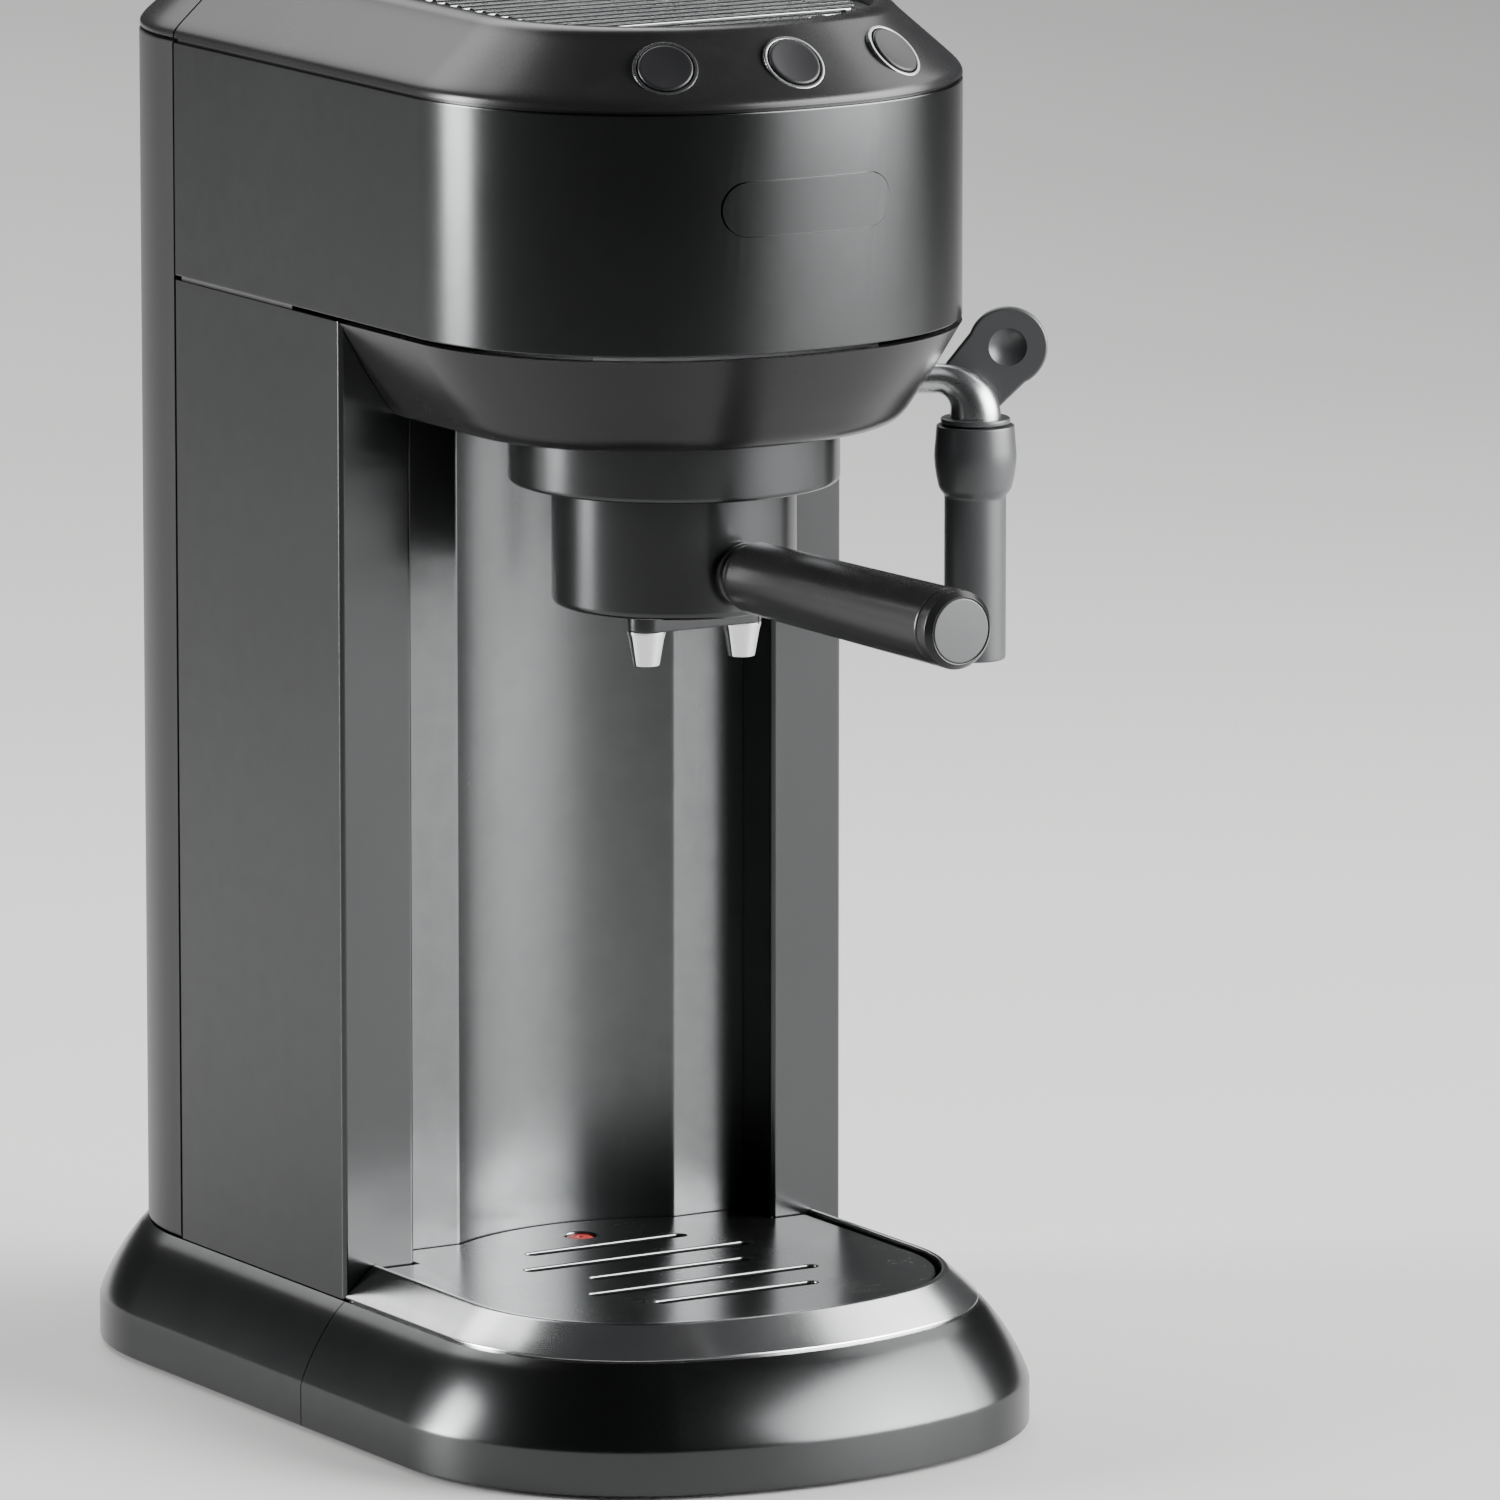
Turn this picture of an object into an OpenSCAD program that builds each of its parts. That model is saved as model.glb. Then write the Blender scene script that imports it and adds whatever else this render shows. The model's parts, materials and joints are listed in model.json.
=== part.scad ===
// Slim pump espresso machine. Origin at the middle of the body's plan, on the
// rest surface; +Z is up, -Y is the front and +X is the viewer's right from the front.

/* [Body] */
// Width of the column and the head
body_w = 150; // [125:1:180]
// Depth of the body from the front of the head to the back of the tank
body_d = 254.5; // [230:0.5:310]
// Radius of the front of the head
head_front_r = 123; // [110:1:160]
// Radius of the front corners of the head
head_corner_r = 67.6; // [50:0.2:70]
// Radius of the back corners of the tank
back_r = 55; // [20:1:60]
// Distance from the front of the head to the front of the column
column_set_back = 108.2; // [100:0.1:130]
// Depth of the water tank
tank_d = 59.7; // [45:0.1:75]
// Thickness of the sheet metal covers
sheet = 1.5; // [1:0.1:2]
// Thickness of the moulded walls
wall = 2.5; // [2:0.1:3]
// Width of the dark gaps between outer pieces
seam = 0.8; // [0.5:0.1:1.2]

/* [Heights] */
// Height of the rubber foot
foot_h = 2; // [1.5:0.1:3]
// Top of the upright band round the base
band_z = 12.1; // [9:0.1:15]
// Top of the flared base, where the column stands
base_z = 32.7; // [28:0.1:40]
// Lowest face of the head
head_low_z = 262; // [255:1:310]
// Lower edge of the metal band round the head
head_band_z = 288.7; // [282:0.1:345]
// Height of the metal band round the head
head_band_h = 62.1; // [50:0.1:80]
// Height of the sloping top above the metal band
top_h = 19; // [15:0.5:24]

/* [Base and drip tray] */
// How far the base flares out past the body
flare = 13.1; // [8:0.1:16]
// Radius of the front of the base at its top edge
base_front_r = 112.8; // [105:0.1:150]
// Radius of the front corners of the base at its top edge
base_corner_r = 55.3; // [45:0.1:60]
// How far the base reaches past the front of the head
base_reach = 3.7; // [0:0.1:10]
// Width of the bevelled trim round the drip tray, seen from above
trim_w = 8.9; // [6:0.1:11]
// Height of the bevelled trim
trim_h = 8.6; // [6:0.1:11]
// Length of the long slots in the cup plate
slot_long = 68; // [50:1:76]
// Length of the short slots in the cup plate
slot_short = 48; // [30:1:56]
// Distance between rows of slots
slot_pitch = 16.5; // [14:0.5:19]

/* [Column] */
// Width of the front strip at each side of the column
strip_w = 21.1; // [16:0.1:26]
// Depth of the recess behind the cup
recess_d = 14.7; // [10:0.1:18]
// Depth of the hollow curve in the backsplash
hollow_d = 8.8; // [5:0.1:11]

/* [Brewing group] */
// Distance from the front of the head to the axis of the group
group_set_back = 67.5; // [62:0.1:75]
// Radius of the group flange
flange_r = 42.5; // [40:0.1:46]
// How far the flange hangs below the head
flange_drop = 14.7; // [12:0.1:18]
// Radius of the portafilter
holder_r = 31.4; // [29:0.1:33]
// Height of the portafilter below the flange
holder_h = 31.8; // [28:0.1:36]
// How far the lugs stand out of the portafilter
lug_reach = 5; // [4:0.1:6]
// Turn that unlocks the portafilter, in degrees
unlock_turn = 50; // [40:1:55]
// Radius inside the filter basket
basket_r = 25.5; // [23:0.1:26]
// Length from the group axis to the end of the handle
handle_reach = 131.8; // [115:0.1:150]
// Radius of the handle at its end
handle_r = 10; // [9:0.1:12]
// Distance between the two spouts
spout_gap = 28.3; // [22:0.1:32]

/* [Steam wand] */
// Distance from the side of the head out to the wand
wand_out = 5.5; // [3:0.1:25]
// Distance from the group axis forward to the wand
wand_fore = 16.4; // [10:0.1:22]
// Radius of the steam pipe
pipe_r = 3.9; // [3:0.1:4.5]
// Radius of the frother sleeve
sleeve_r = 8; // [7:0.1:9]
// Length of the frother sleeve
sleeve_l = 63; // [45:1:75]

/* [Controls] */
// Radius of the push buttons
button_r = 7; // [6:0.1:8]
// Distance between the push buttons
button_pitch = 33.5; // [28:0.5:36]
// Travel of a push button
button_travel = 1.6; // [1:0.1:2]
// Radius of the steam knob
knob_r = 18; // [14:0.5:22]

/* [Hidden] */

$fn = 64;
// Clearances
run = 0.05; // round running fits
slip = 0.3; // loose pieces that slide past each other
past = 1; // how far a cut runs past the face it opens

half_w = body_w / 2;
front_y = -body_d / 2;
back_y = body_d / 2;
column_y = front_y + column_set_back;
tank_y = back_y - tank_d;
group_y = front_y + group_set_back;
wand_y = group_y - wand_fore;
band_top_z = head_band_z + head_band_h;
top_z = band_top_z + top_h;

// Outlines, from above. Each is a list of points, with its arcs' points found by angle.
corner_steps = 14;
front_steps = 4;
function arc(x, y, r, from, to, steps) =
    [for (i = [0:steps]) let (a = from + (to - from) * i / steps) [x + r * cos(a), y + r * sin(a)]];

// The front of a plan outline: two corner arcs that run into a flatter front arc
function front_arcs(y, big_r, small_r, inset) =
    let (
        cx = half_w - small_r,
        turn = asin(cx / (big_r - small_r)),
        big_y = y + big_r,
        small_y = big_y - sqrt(pow(big_r - small_r, 2) - cx * cx),
        r = small_r - inset,
        left = arc(-cx, small_y, r, 180, 270 - turn, corner_steps),
        middle = arc(0, big_y, big_r - inset, 270 - turn, 270 + turn, front_steps),
        right = arc(cx, small_y, r, 270 + turn, 360, corner_steps)
    )
    concat(left, [for (i = [1:front_steps - 1]) middle[i]], right);
// The back of a plan outline: two equal corner arcs
function back_arcs(inset) =
    let (cx = half_w - back_r, cy = back_y - back_r, r = back_r - inset)
    concat(arc(cx, cy, r, 0, 90, corner_steps), arc(-cx, cy, r, 90, 180, corner_steps));

function body_outline(inset) =
    concat(front_arcs(front_y, head_front_r, head_corner_r, inset), back_arcs(inset));
function base_outline(inset) =
    concat(front_arcs(front_y - base_reach, base_front_r, base_corner_r, inset), back_arcs(inset));

// A closed shell's skin through [inset, height] levels of an outline
module loft(rings, heights) {
    n = len(rings[0]);
    last = len(rings) - 1;
    points = [for (k = [0:last]) for (p = rings[k]) [p[0], p[1], heights[k]]];
    sides = [for (k = [0:last - 1]) for (i = [0:n - 1])
        [k * n + i, (k + 1) * n + i, (k + 1) * n + (i + 1) % n, k * n + (i + 1) % n]];
    bottom = [for (i = [0:n - 1]) i];
    top = [for (i = [0:n - 1]) (last + 1) * n - 1 - i];
    polyhedron(points = points, faces = concat(sides, [bottom, top]), convexity = 4);
}
module body_loft(levels) {
    loft([for (l = levels) body_outline(l[0])], [for (l = levels) l[1]]);
}
module base_loft(levels) {
    loft([for (l = levels) base_outline(l[0])], [for (l = levels) l[1]]);
}

// Everything in front of y, or behind it
module in_front_of(y) {
    translate([-body_d, y - 2 * body_d, -past])
        cube([2 * body_d, 2 * body_d, 2 * top_z]);
}
module behind(y) {
    translate([-body_d, y, -past])
        cube([2 * body_d, 2 * body_d, 2 * top_z]);
}
module at_group() {
    translate([0, group_y, 0])
        children();
}
module ring(outer, inner, z, h) {
    translate([0, 0, z])
        difference() {
            cylinder(r = outer, h = h);
            translate([0, 0, -past])
                cylinder(r = inner, h = h + 2 * past);
        }
}
module round_slot(length, width, h) {
    for (side = [-1, 1])
        translate([side * (length - width) / 2, 0, 0])
            cylinder(d = width, h = h, $fn = 24);
    translate([-(length - width) / 2, -width / 2, 0])
        cube([length - width, width, h]);
}

/* ---- Base ---- */
plate_t = 2;
plate_top_z = foot_h + plate_t;
plate_inset = 5;
skirt_low_z = foot_h - 0.8;
deck_t = 3;
// Outer profile of the base, as [inset, height], from the rest surface up to the column.
// The slope bulges a little: flare_share says how far out it is at a share of its height.
flare_bulge = 1.22;
slope_steps = 8;
function flare_share(up) = pow(1 - pow(up, flare_bulge), 1 / flare_bulge);
base_profile = concat(
    [[-flare + 0.8, skirt_low_z], [-flare, skirt_low_z + 0.8]],
    [for (i = [0:slope_steps])
        [-flare * flare_share(i / slope_steps), band_z + (base_z - band_z) * i / slope_steps]]
);
base_hollow = [
    [-flare + wall + 0.2, skirt_low_z - past],
    [-flare + wall + 0.2, band_z],
    [-flare * 0.33 + wall, base_z - deck_t - 2],
    [-flare * 0.33 + wall + 2, base_z - deck_t]
];
screw_r = 2;
screw_head_r = 3.6;
screw_head_h = 1.4;
screw_l = 12;
base_screw_x = half_w - 22;
base_screw_ys = [column_y + recess_d + 3.3, tank_y + 10];
boss_r = 4.5;

module base_screw_places() {
    for (x = [-base_screw_x, base_screw_x], y = base_screw_ys)
        translate([x, y, 0])
            children();
}
module base_plate() {
    color([0.10, 0.10, 0.11])
        difference() {
            translate([0, 0, foot_h])
                linear_extrude(plate_t)
                    polygon(base_outline(plate_inset));
            base_screw_places()
                cylinder(r = screw_r + 0.2, h = foot_h + plate_t + past);
        }
}
foot_inset = 9;
foot_w = 6;
module foot_ring() {
    color([0.05, 0.05, 0.05])
        linear_extrude(foot_h)
            difference() {
                polygon(base_outline(foot_inset));
                polygon(base_outline(foot_inset + foot_w));
            }
}
gland_x = -half_w + 40;
gland_r = 4.5;
gland_z = foot_h + 6.5;
dock_r = 15;
dock_y = (tank_y + back_y) / 2 - 4;
suction_x = -26;
suction_y = tank_y - 24;
hose_r = 3;
deck_inset = -flare * 0.33 + wall + 2;
module base_shell() {
    color([0.13, 0.13, 0.14])
        difference() {
            base_loft(base_profile);
            base_loft(base_hollow);
            in_front_of(column_y);
            linear_extrude(base_z + past)
                polygon(base_outline(deck_inset));
            translate([gland_x, back_y, gland_z])
                rotate([-90, 0, 0])
                    cylinder(r = gland_r, h = 2 * flare, center = true);
        }
}
// The deck that the column stands on, with the bosses for the screws from below
module base_deck() {
    color([0.13, 0.13, 0.14])
        difference() {
            union() {
                translate([0, 0, base_z - deck_t])
                    linear_extrude(deck_t)
                        polygon(base_outline(deck_inset));
                base_screw_places()
                    translate([0, 0, plate_top_z])
                        cylinder(r = boss_r, h = base_z - plate_top_z - past);
            }
            in_front_of(column_y);
            translate([0, 0, plate_top_z])
                linear_extrude(base_z)
                    plate_outline(-slip);
            base_screw_places()
                translate([0, 0, plate_top_z - past])
                    cylinder(r = screw_r, h = screw_l);
            translate([0, dock_y, base_z - deck_t - past])
                cylinder(r = dock_r + run, h = deck_t + 2 * past);
            translate([suction_x, suction_y, base_z - deck_t - past])
                cylinder(r = hose_r + 2, h = deck_t + 2 * past);
        }
}
module cable_gland() {
    collar_r = gland_r + 2.5;
    outer_y = back_y + flare;
    color([0.05, 0.05, 0.05])
        translate([gland_x, outer_y, gland_z])
            rotate([-90, 0, 0])
                difference() {
                    union() {
                        translate([0, 0, -12])
                            cylinder(r = gland_r - 0.05, h = 12);
                        cylinder(r1 = collar_r, r2 = collar_r - 1, h = 2.5);
                    }
                    translate([0, 0, -12 - past])
                        cylinder(r = gland_r - 1.6, h = 20);
                }
}

/* ---- Column ---- */
panel_low_z = base_z + 0.3;
panel_top_z = head_band_z - 0.5;
recess_x = half_w - strip_w;
recess_y = column_y + recess_d;
sheet_t = 1.2;
rocker_w = 14;
rocker_l = 21;
rocker_y = tank_y - 28;
rocker_z = base_z + 40;
switch_cut = 0.15;
module side_sheet() {
    translate([half_w - sheet, column_y])
        square([sheet, tank_y - column_y]);
    translate([recess_x, column_y])
        square([strip_w, sheet]);
    translate([recess_x, column_y])
        square([sheet, recess_d + sheet_t]);
}
module left_side_panel() {
    color([0.16, 0.16, 0.17])
        translate([0, 0, panel_low_z])
            linear_extrude(panel_top_z - panel_low_z)
                mirror([1, 0])
                    side_sheet();
}
module right_side_panel() {
    color([0.16, 0.16, 0.17])
        difference() {
            translate([0, 0, panel_low_z])
                linear_extrude(panel_top_z - panel_low_z)
                    side_sheet();
            translate([half_w - sheet - past, rocker_y - rocker_w / 2, rocker_z - rocker_l / 2])
                cube([sheet + 2 * past, rocker_w, rocker_l]);
        }
}
// The hollow curve is an arc about the group axis
hollow_r = recess_y + hollow_d - group_y;
crease_x = sqrt(pow(hollow_r, 2) - pow(recess_y - group_y, 2));
splash_top_z = head_low_z - 0.3;
module backsplash_panel() {
    edge_x = recess_x - 0.1;
    color([0.42, 0.43, 0.44])
        translate([0, 0, panel_low_z])
            linear_extrude(splash_top_z - panel_low_z) {
                for (side = [0, 1])
                    mirror([side, 0])
                        translate([crease_x - 0.5, recess_y])
                            square([edge_x - crease_x + 0.5, sheet_t]);
                intersection() {
                    translate([0, group_y])
                        difference() {
                            circle(r = hollow_r + sheet_t, $fn = 96);
                            circle(r = hollow_r, $fn = 96);
                        }
                    translate([-crease_x, recess_y])
                        square([2 * crease_x, 2 * hollow_d]);
                }
            }
}
frame_t = 2.5;
frame_x = half_w - sheet - 0.2;
frame_y = tank_y - 0.3;
frame_front_y = recess_y + hollow_d + 4;
frame_top_z = band_top_z - 2;
shelf_z = head_band_z + 1;
module inner_frame() {
    color([0.07, 0.07, 0.07])
        difference() {
            union() {
                translate([-frame_x, frame_y - frame_t, base_z])
                    cube([2 * frame_x, frame_t, frame_top_z - base_z]);
                for (side = [0, 1])
                    mirror([side, 0, 0])
                        translate([frame_x - frame_t, frame_front_y, base_z])
                            cube([frame_t, frame_y - frame_front_y, shelf_z - base_z]);
            }
            translate([frame_x - frame_t - past, rocker_y - rocker_w, rocker_z - rocker_l])
                cube([frame_t + 2 * past, 2 * rocker_w, 2 * rocker_l]);
            for (x = board_screw_xs, z = board_screw_zs)
                translate([x, frame_y - frame_t - past, z])
                    rotate([-90, 0, 0])
                        cylinder(r = screw_r, h = frame_t + 2 * past);
        }
}
module rocker_frame() {
    lip = 1.5;
    color([0.04, 0.04, 0.04])
        difference() {
            union() {
                translate([half_w - 14, rocker_y - rocker_w / 2 + switch_cut,
                           rocker_z - rocker_l / 2 + switch_cut])
                    cube([14, rocker_w - 2 * switch_cut, rocker_l - 2 * switch_cut]);
                translate([half_w, rocker_y - rocker_w / 2 - lip, rocker_z - rocker_l / 2 - lip])
                    cube([1, rocker_w + 2 * lip, rocker_l + 2 * lip]);
            }
            translate([half_w - 8, rocker_y - rocker_w / 2 + 1.6, rocker_z - rocker_l / 2 + 1.6])
                cube([8 + past, rocker_w - 3.2, rocker_l - 3.2]);
        }
}
rocker_axis_x = half_w - 2.5;
module power_rocker() {
    width = rocker_w - 3.2 - 2 * slip;
    length = rocker_l - 3.2 - 2 * slip - 0.6;
    color([0.06, 0.06, 0.06])
        translate([rocker_axis_x, rocker_y, rocker_z])
            rotate([0, 8, 0])
                difference() {
                    translate([-2.5, -width / 2, -length / 2])
                        cube([5, width, length]);
                    translate([13.2, 0, 0])
                        rotate([90, 0, 0])
                            cylinder(r = 11.4, h = width + 2 * past, center = true);
                }
}

/* ---- Head ---- */
module head_shelf() {
    shelf_t = 2;
    margin = sheet + 0.2;
    color([0.55, 0.56, 0.58])
        difference() {
            translate([0, 0, shelf_z])
                linear_extrude(shelf_t)
                    difference() {
                        polygon(body_outline(margin));
                        translate([-body_w, frame_y - frame_t])
                            square([2 * body_w, body_d]);
                        translate([-block_w / 2 - 3, group_y - block_d / 2 - 3])
                            square([block_w + 6, block_d + 6]);
                        translate([suction_x - 6, suction_y - 6])
                            square([12, 12]);
                    }
            translate([steam_x, knob_y, shelf_z - past])
                cylinder(r = 4, h = shelf_t + 2 * past);
        }
}
band_low_z = head_band_z + seam / 2;
band_high_z = band_top_z - seam / 2;
badge_w = 49;
badge_h = 13.6;
badge_z = head_band_z + 37.3;
badge_deep = 0.8;
badge_proud = 0.4;
module badge_form(grow) {
    translate([0, front_y + 20, badge_z])
        rotate([90, 0, 0])
            round_slot(badge_w + 2 * grow, badge_h + 2 * grow, 40);
}
module head_band() {
    knob_hole_r = stem_r + 1;
    color([0.19, 0.19, 0.20])
        difference() {
            translate([0, 0, band_low_z])
                linear_extrude(band_high_z - band_low_z)
                    difference() {
                        polygon(body_outline(0));
                        polygon(body_outline(sheet));
                        translate([-body_w, tank_y])
                            square([2 * body_w, body_d]);
                    }
            difference() {
                badge_form(0.3);
                translate([0, 0, band_low_z - past])
                    linear_extrude(head_band_h)
                        polygon(body_outline(badge_deep));
            }
            translate([half_w, knob_y, knob_z])
                rotate([0, 90, 0])
                    cylinder(r = knob_hole_r, h = 4 * sheet, center = true);
        }
}
module badge_plate() {
    color([0.24, 0.24, 0.25])
        intersection() {
            badge_form(0);
            translate([0, 0, band_low_z])
                linear_extrude(head_band_h)
                    difference() {
                        polygon(body_outline(-badge_proud));
                        polygon(body_outline(badge_deep));
                    }
        }
}
chamfer_h = head_band_z - head_low_z;
under_profile = [
    [21, head_low_z],
    [17.5, head_low_z + 0.6],
    [14.5, head_low_z + 2.9],
    [11.5, head_low_z + chamfer_h * 0.27],
    [7.3, head_low_z + chamfer_h * 0.51],
    [0.4, head_low_z + chamfer_h - 1.4],
    [0, head_low_z + chamfer_h - 0.8]
];
under_hollow = [
    [21, head_low_z + wall],
    [14.5 + wall * 0.7, head_low_z + wall + 2.6],
    [7.3 + wall, head_low_z + chamfer_h * 0.51 + 1],
    [wall, head_low_z + chamfer_h + past]
];
tongue_x = recess_x - 2;
module head_underside() {
    color([0.07, 0.07, 0.075])
        difference() {
            union() {
                difference() {
                    body_loft(under_profile);
                    behind(column_y - 0.3);
                    body_loft(under_hollow);
                }
                translate([-tongue_x, column_y - 0.3, head_low_z])
                    cube([2 * tongue_x, frame_front_y - column_y, wall]);
            }
            at_group()
                translate([0, 0, head_low_z - past])
                    cylinder(r = flange_r + slip, h = wall + 2 * past);
            wand_axis()
                union() {
                    translate([0, 0, -wand_bend_r - 40])
                        cylinder(r = pipe_r + 0.8, h = 40);
                    translate([0, 0, -wand_socket_far - 0.2])
                        cylinder(r = wand_socket_r + 0.1, h = wand_socket_far - wand_socket_near + 0.4);
                }
        }
}
top_rim_inset = 20;
// Outer profile of the top, from the seam up the slope to the rim
top_profile = [
    [1.2, band_high_z],
    [1.2, band_top_z + seam / 2],
    [0, band_top_z + seam / 2 + 0.1],
    [0.3, band_top_z + 1.8],
    [1.5, band_top_z + 3.4],
    [4.2, band_top_z + 5.9],
    [top_rim_inset - 4.2, top_z - 2.9],
    [top_rim_inset - 2.2, top_z - 0.7],
    [top_rim_inset, top_z]
];
top_hollow = [
    [wall + 1.2, band_high_z - past],
    [wall + 1.2, band_top_z + 2.4],
    [top_rim_inset - 3.8, top_z - 7],
    [top_rim_inset + 4, top_z - 7]
];
warmer_inset = 23;
warmer_floor_z = top_z - 4.2;
warmer_back_y = tank_y - 8;
button_lean = 46;
button_inset = 8.6;
button_slope_z = band_top_z + 10;
// Plan position and facing of each button on the slope
button_turn = asin((button_pitch - (half_w - head_corner_r)) / (head_corner_r - button_inset));
head_small_y = front_y + head_front_r
    - sqrt(pow(head_front_r - head_corner_r, 2) - pow(half_w - head_corner_r, 2));
button_side_y = head_small_y - (head_corner_r - button_inset) * cos(button_turn);
module at_button(index) {
    x = index * button_pitch;
    y = index == 0 ? front_y + button_inset : button_side_y;
    translate([x, y, button_slope_z])
        rotate([0, 0, index * button_turn])
            rotate([button_lean, 0, 0])
                children();
}
bezel_r = button_r + 1.3;
bezel_t = 2.6;
module warmer_outline(inset) {
    difference() {
        polygon(body_outline(warmer_inset + inset));
        translate([-body_w, warmer_back_y - inset])
            square([2 * body_w, body_d]);
    }
}
module top_cover() {
    color([0.06, 0.06, 0.065])
        difference() {
            body_loft(top_profile);
            behind(tank_y);
            difference() {
                body_loft(top_hollow);
                behind(tank_y - wall);
            }
            translate([0, 0, warmer_floor_z - 0.2])
                linear_extrude(2 * top_h)
                    warmer_outline(0);
            translate([0, 0, warmer_floor_z - 10])
                linear_extrude(2 * top_h)
                    warmer_outline(4);
            for (index = [-1, 0, 1])
                at_button(index)
                    cylinder(r = bezel_r, h = 12, center = true);
        }
}
rib_pitch = 6.4;
rib_w = 3.4;
rib_h = 1.8;
module cup_warmer_plate() {
    plate_h = 1.6;
    first_y = front_y + warmer_inset + 6;
    color([0.45, 0.46, 0.47]) {
        translate([0, 0, warmer_floor_z])
            linear_extrude(plate_h)
                warmer_outline(0.3);
        intersection() {
            translate([0, 0, warmer_floor_z])
                linear_extrude(plate_h + rib_h)
                    warmer_outline(5);
            for (y = [first_y:rib_pitch:warmer_back_y - rib_w])
                translate([-body_w / 2, y, warmer_floor_z + plate_h - 0.2])
                    cube([body_w, rib_w, rib_h + 0.2]);
        }
    }
}
module button_rings() {
    color([0.30, 0.30, 0.31])
        for (index = [-1, 0, 1])
            at_button(index)
                difference() {
                    translate([0, 0, -bezel_t])
                        cylinder(r = bezel_r - 0.02, h = bezel_t + 0.4);
                    translate([0, 0, -bezel_t - past])
                        cylinder(r = button_r + slip, h = bezel_t + 3);
                }
}
button_face = 0.9;
button_stem_l = 7;
module button(index) {
    color([0.09, 0.09, 0.095])
        at_button(index) {
            translate([0, 0, -2.5])
                cylinder(r = button_r, h = 2.5 + button_face);
            translate([0, 0, -button_stem_l])
                cylinder(r = 2, h = button_stem_l, $fn = 32);
        }
}
module brew_button_single() {
    button(-1);
}
module brew_button_double() {
    button(0);
}
module steam_button() {
    button(1);
}
module button_switches() {
    size = 6;
    color([0.15, 0.30, 0.16])
        for (index = [-1, 0, 1])
            at_button(index)
                translate([0, 0, -button_stem_l - button_travel - 0.2]) {
                    translate([-size / 2, -size / 2, -3])
                        cube([size, size, 3]);
                    translate([-size, -size * 0.8, -4.6])
                        cube([2 * size, 1.6 * size, 1.6]);
                }
}

/* ---- Steam knob and valve ---- */
knob_y = column_y + 24;
knob_z = head_band_z + 33;
knob_d = 14;
stem_r = 3;
valve_x = half_w - sheet - 28;
steam_x = valve_x + 5;
module steam_knob() {
    grips = 18;
    face_x = half_w + 0.8;
    color([0.08, 0.08, 0.085])
        translate([face_x, knob_y, knob_z])
            rotate([0, 90, 0]) {
                difference() {
                    union() {
                        cylinder(r = knob_r, h = knob_d - 2);
                        translate([0, 0, knob_d - 2])
                            cylinder(r1 = knob_r, r2 = knob_r - 2, h = 2);
                    }
                    for (i = [1:grips - 1])
                        rotate([0, 0, i * 360 / grips])
                            translate([knob_r + 1.2, 0, 3])
                                cylinder(r = 2, h = knob_d, $fn = 20);
                    translate([0, 0, knob_d - 1])
                        cylinder(r = knob_r - 5, h = 2);
                }
                translate([0, 0, -24])
                    cylinder(r = stem_r, h = 24 + past);
            }
}
module steam_valve() {
    body_l = 20;
    color([0.72, 0.55, 0.28])
        difference() {
            union() {
                translate([valve_x, knob_y, knob_z])
                    rotate([0, 90, 0])
                        cylinder(r = 8, h = body_l);
                translate([steam_x, knob_y, knob_z - 14])
                    cylinder(r = 4, h = 14);
                translate([valve_x - 6, knob_y, knob_z])
                    rotate([0, 90, 0])
                        cylinder(r = 4, h = 8);
            }
            translate([valve_x + 2, knob_y, knob_z])
                rotate([0, 90, 0])
                    cylinder(r = stem_r + run, h = body_l + past);
        }
}

/* ---- Brewing group ---- */
flange_low_z = head_low_z - flange_drop;
flange_h = flange_drop + wall + 2;
flange_top_z = flange_low_z + flange_h;
holder_low_z = flange_low_z - holder_h;
lug_h = 4;
ledge_h = 4;
lug_z = flange_low_z + ledge_h + slip;
lug_r = holder_r + lug_reach;
bayonet_r = lug_r + 0.6;
ledge_r = holder_r + 0.6;
rim_top_z = lug_z + lug_h + 0.6;
lug_span = 26;
lug_angles = [0, 180];
// A sector of a full turn, wide enough for any radius here
module sector(from, to, h) {
    far = 3 * flange_r;
    steps = 4;
    linear_extrude(h)
        polygon(concat([[0, 0]], arc(0, 0, far, from, to, steps)));
}
module group_flange() {
    notch = lug_span / 2 + 3;
    color([0.12, 0.12, 0.125])
        at_group()
            difference() {
                translate([0, 0, flange_low_z])
                    cylinder(r = flange_r, h = flange_h, $fn = 96);
                translate([0, 0, flange_low_z + ledge_h])
                    cylinder(r = bayonet_r, h = flange_h);
                translate([0, 0, flange_low_z - past])
                    cylinder(r = ledge_r, h = flange_h);
                for (a = lug_angles)
                    intersection() {
                        translate([0, 0, flange_low_z - past])
                            cylinder(r = bayonet_r, h = ledge_h + 2 * past);
                        translate([0, 0, flange_low_z - past])
                            sector(a - unlock_turn - notch, a - unlock_turn + notch, ledge_h + 2 * past);
                    }
            }
}
block_w = 84;
block_d = 62;
block_h = 30;
group_top_h = 6;
screen_r = 24;
gasket_t = 3;
gasket_z = rim_top_z + 0.1;
module group_body() {
    color([0.60, 0.60, 0.62])
        at_group()
            difference() {
                union() {
                    translate([0, 0, gasket_z + gasket_t])
                        cylinder(r = bayonet_r - 0.3, h = flange_top_z - gasket_z - gasket_t);
                    translate([0, 0, flange_top_z])
                        cylinder(r = flange_r, h = group_top_h);
                    translate([0, 0, gasket_z - 1.6])
                        cylinder(r = screen_r - 1, h = gasket_t + 1.6 + past);
                }
                translate([0, 0, gasket_z - 2])
                    cylinder(r = screw_r, h = flange_top_z + group_top_h - gasket_z);
                translate([screen_r / 2, 0, gasket_z - 2])
                    cylinder(r = 2, h = flange_top_z + group_top_h);
            }
}
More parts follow.
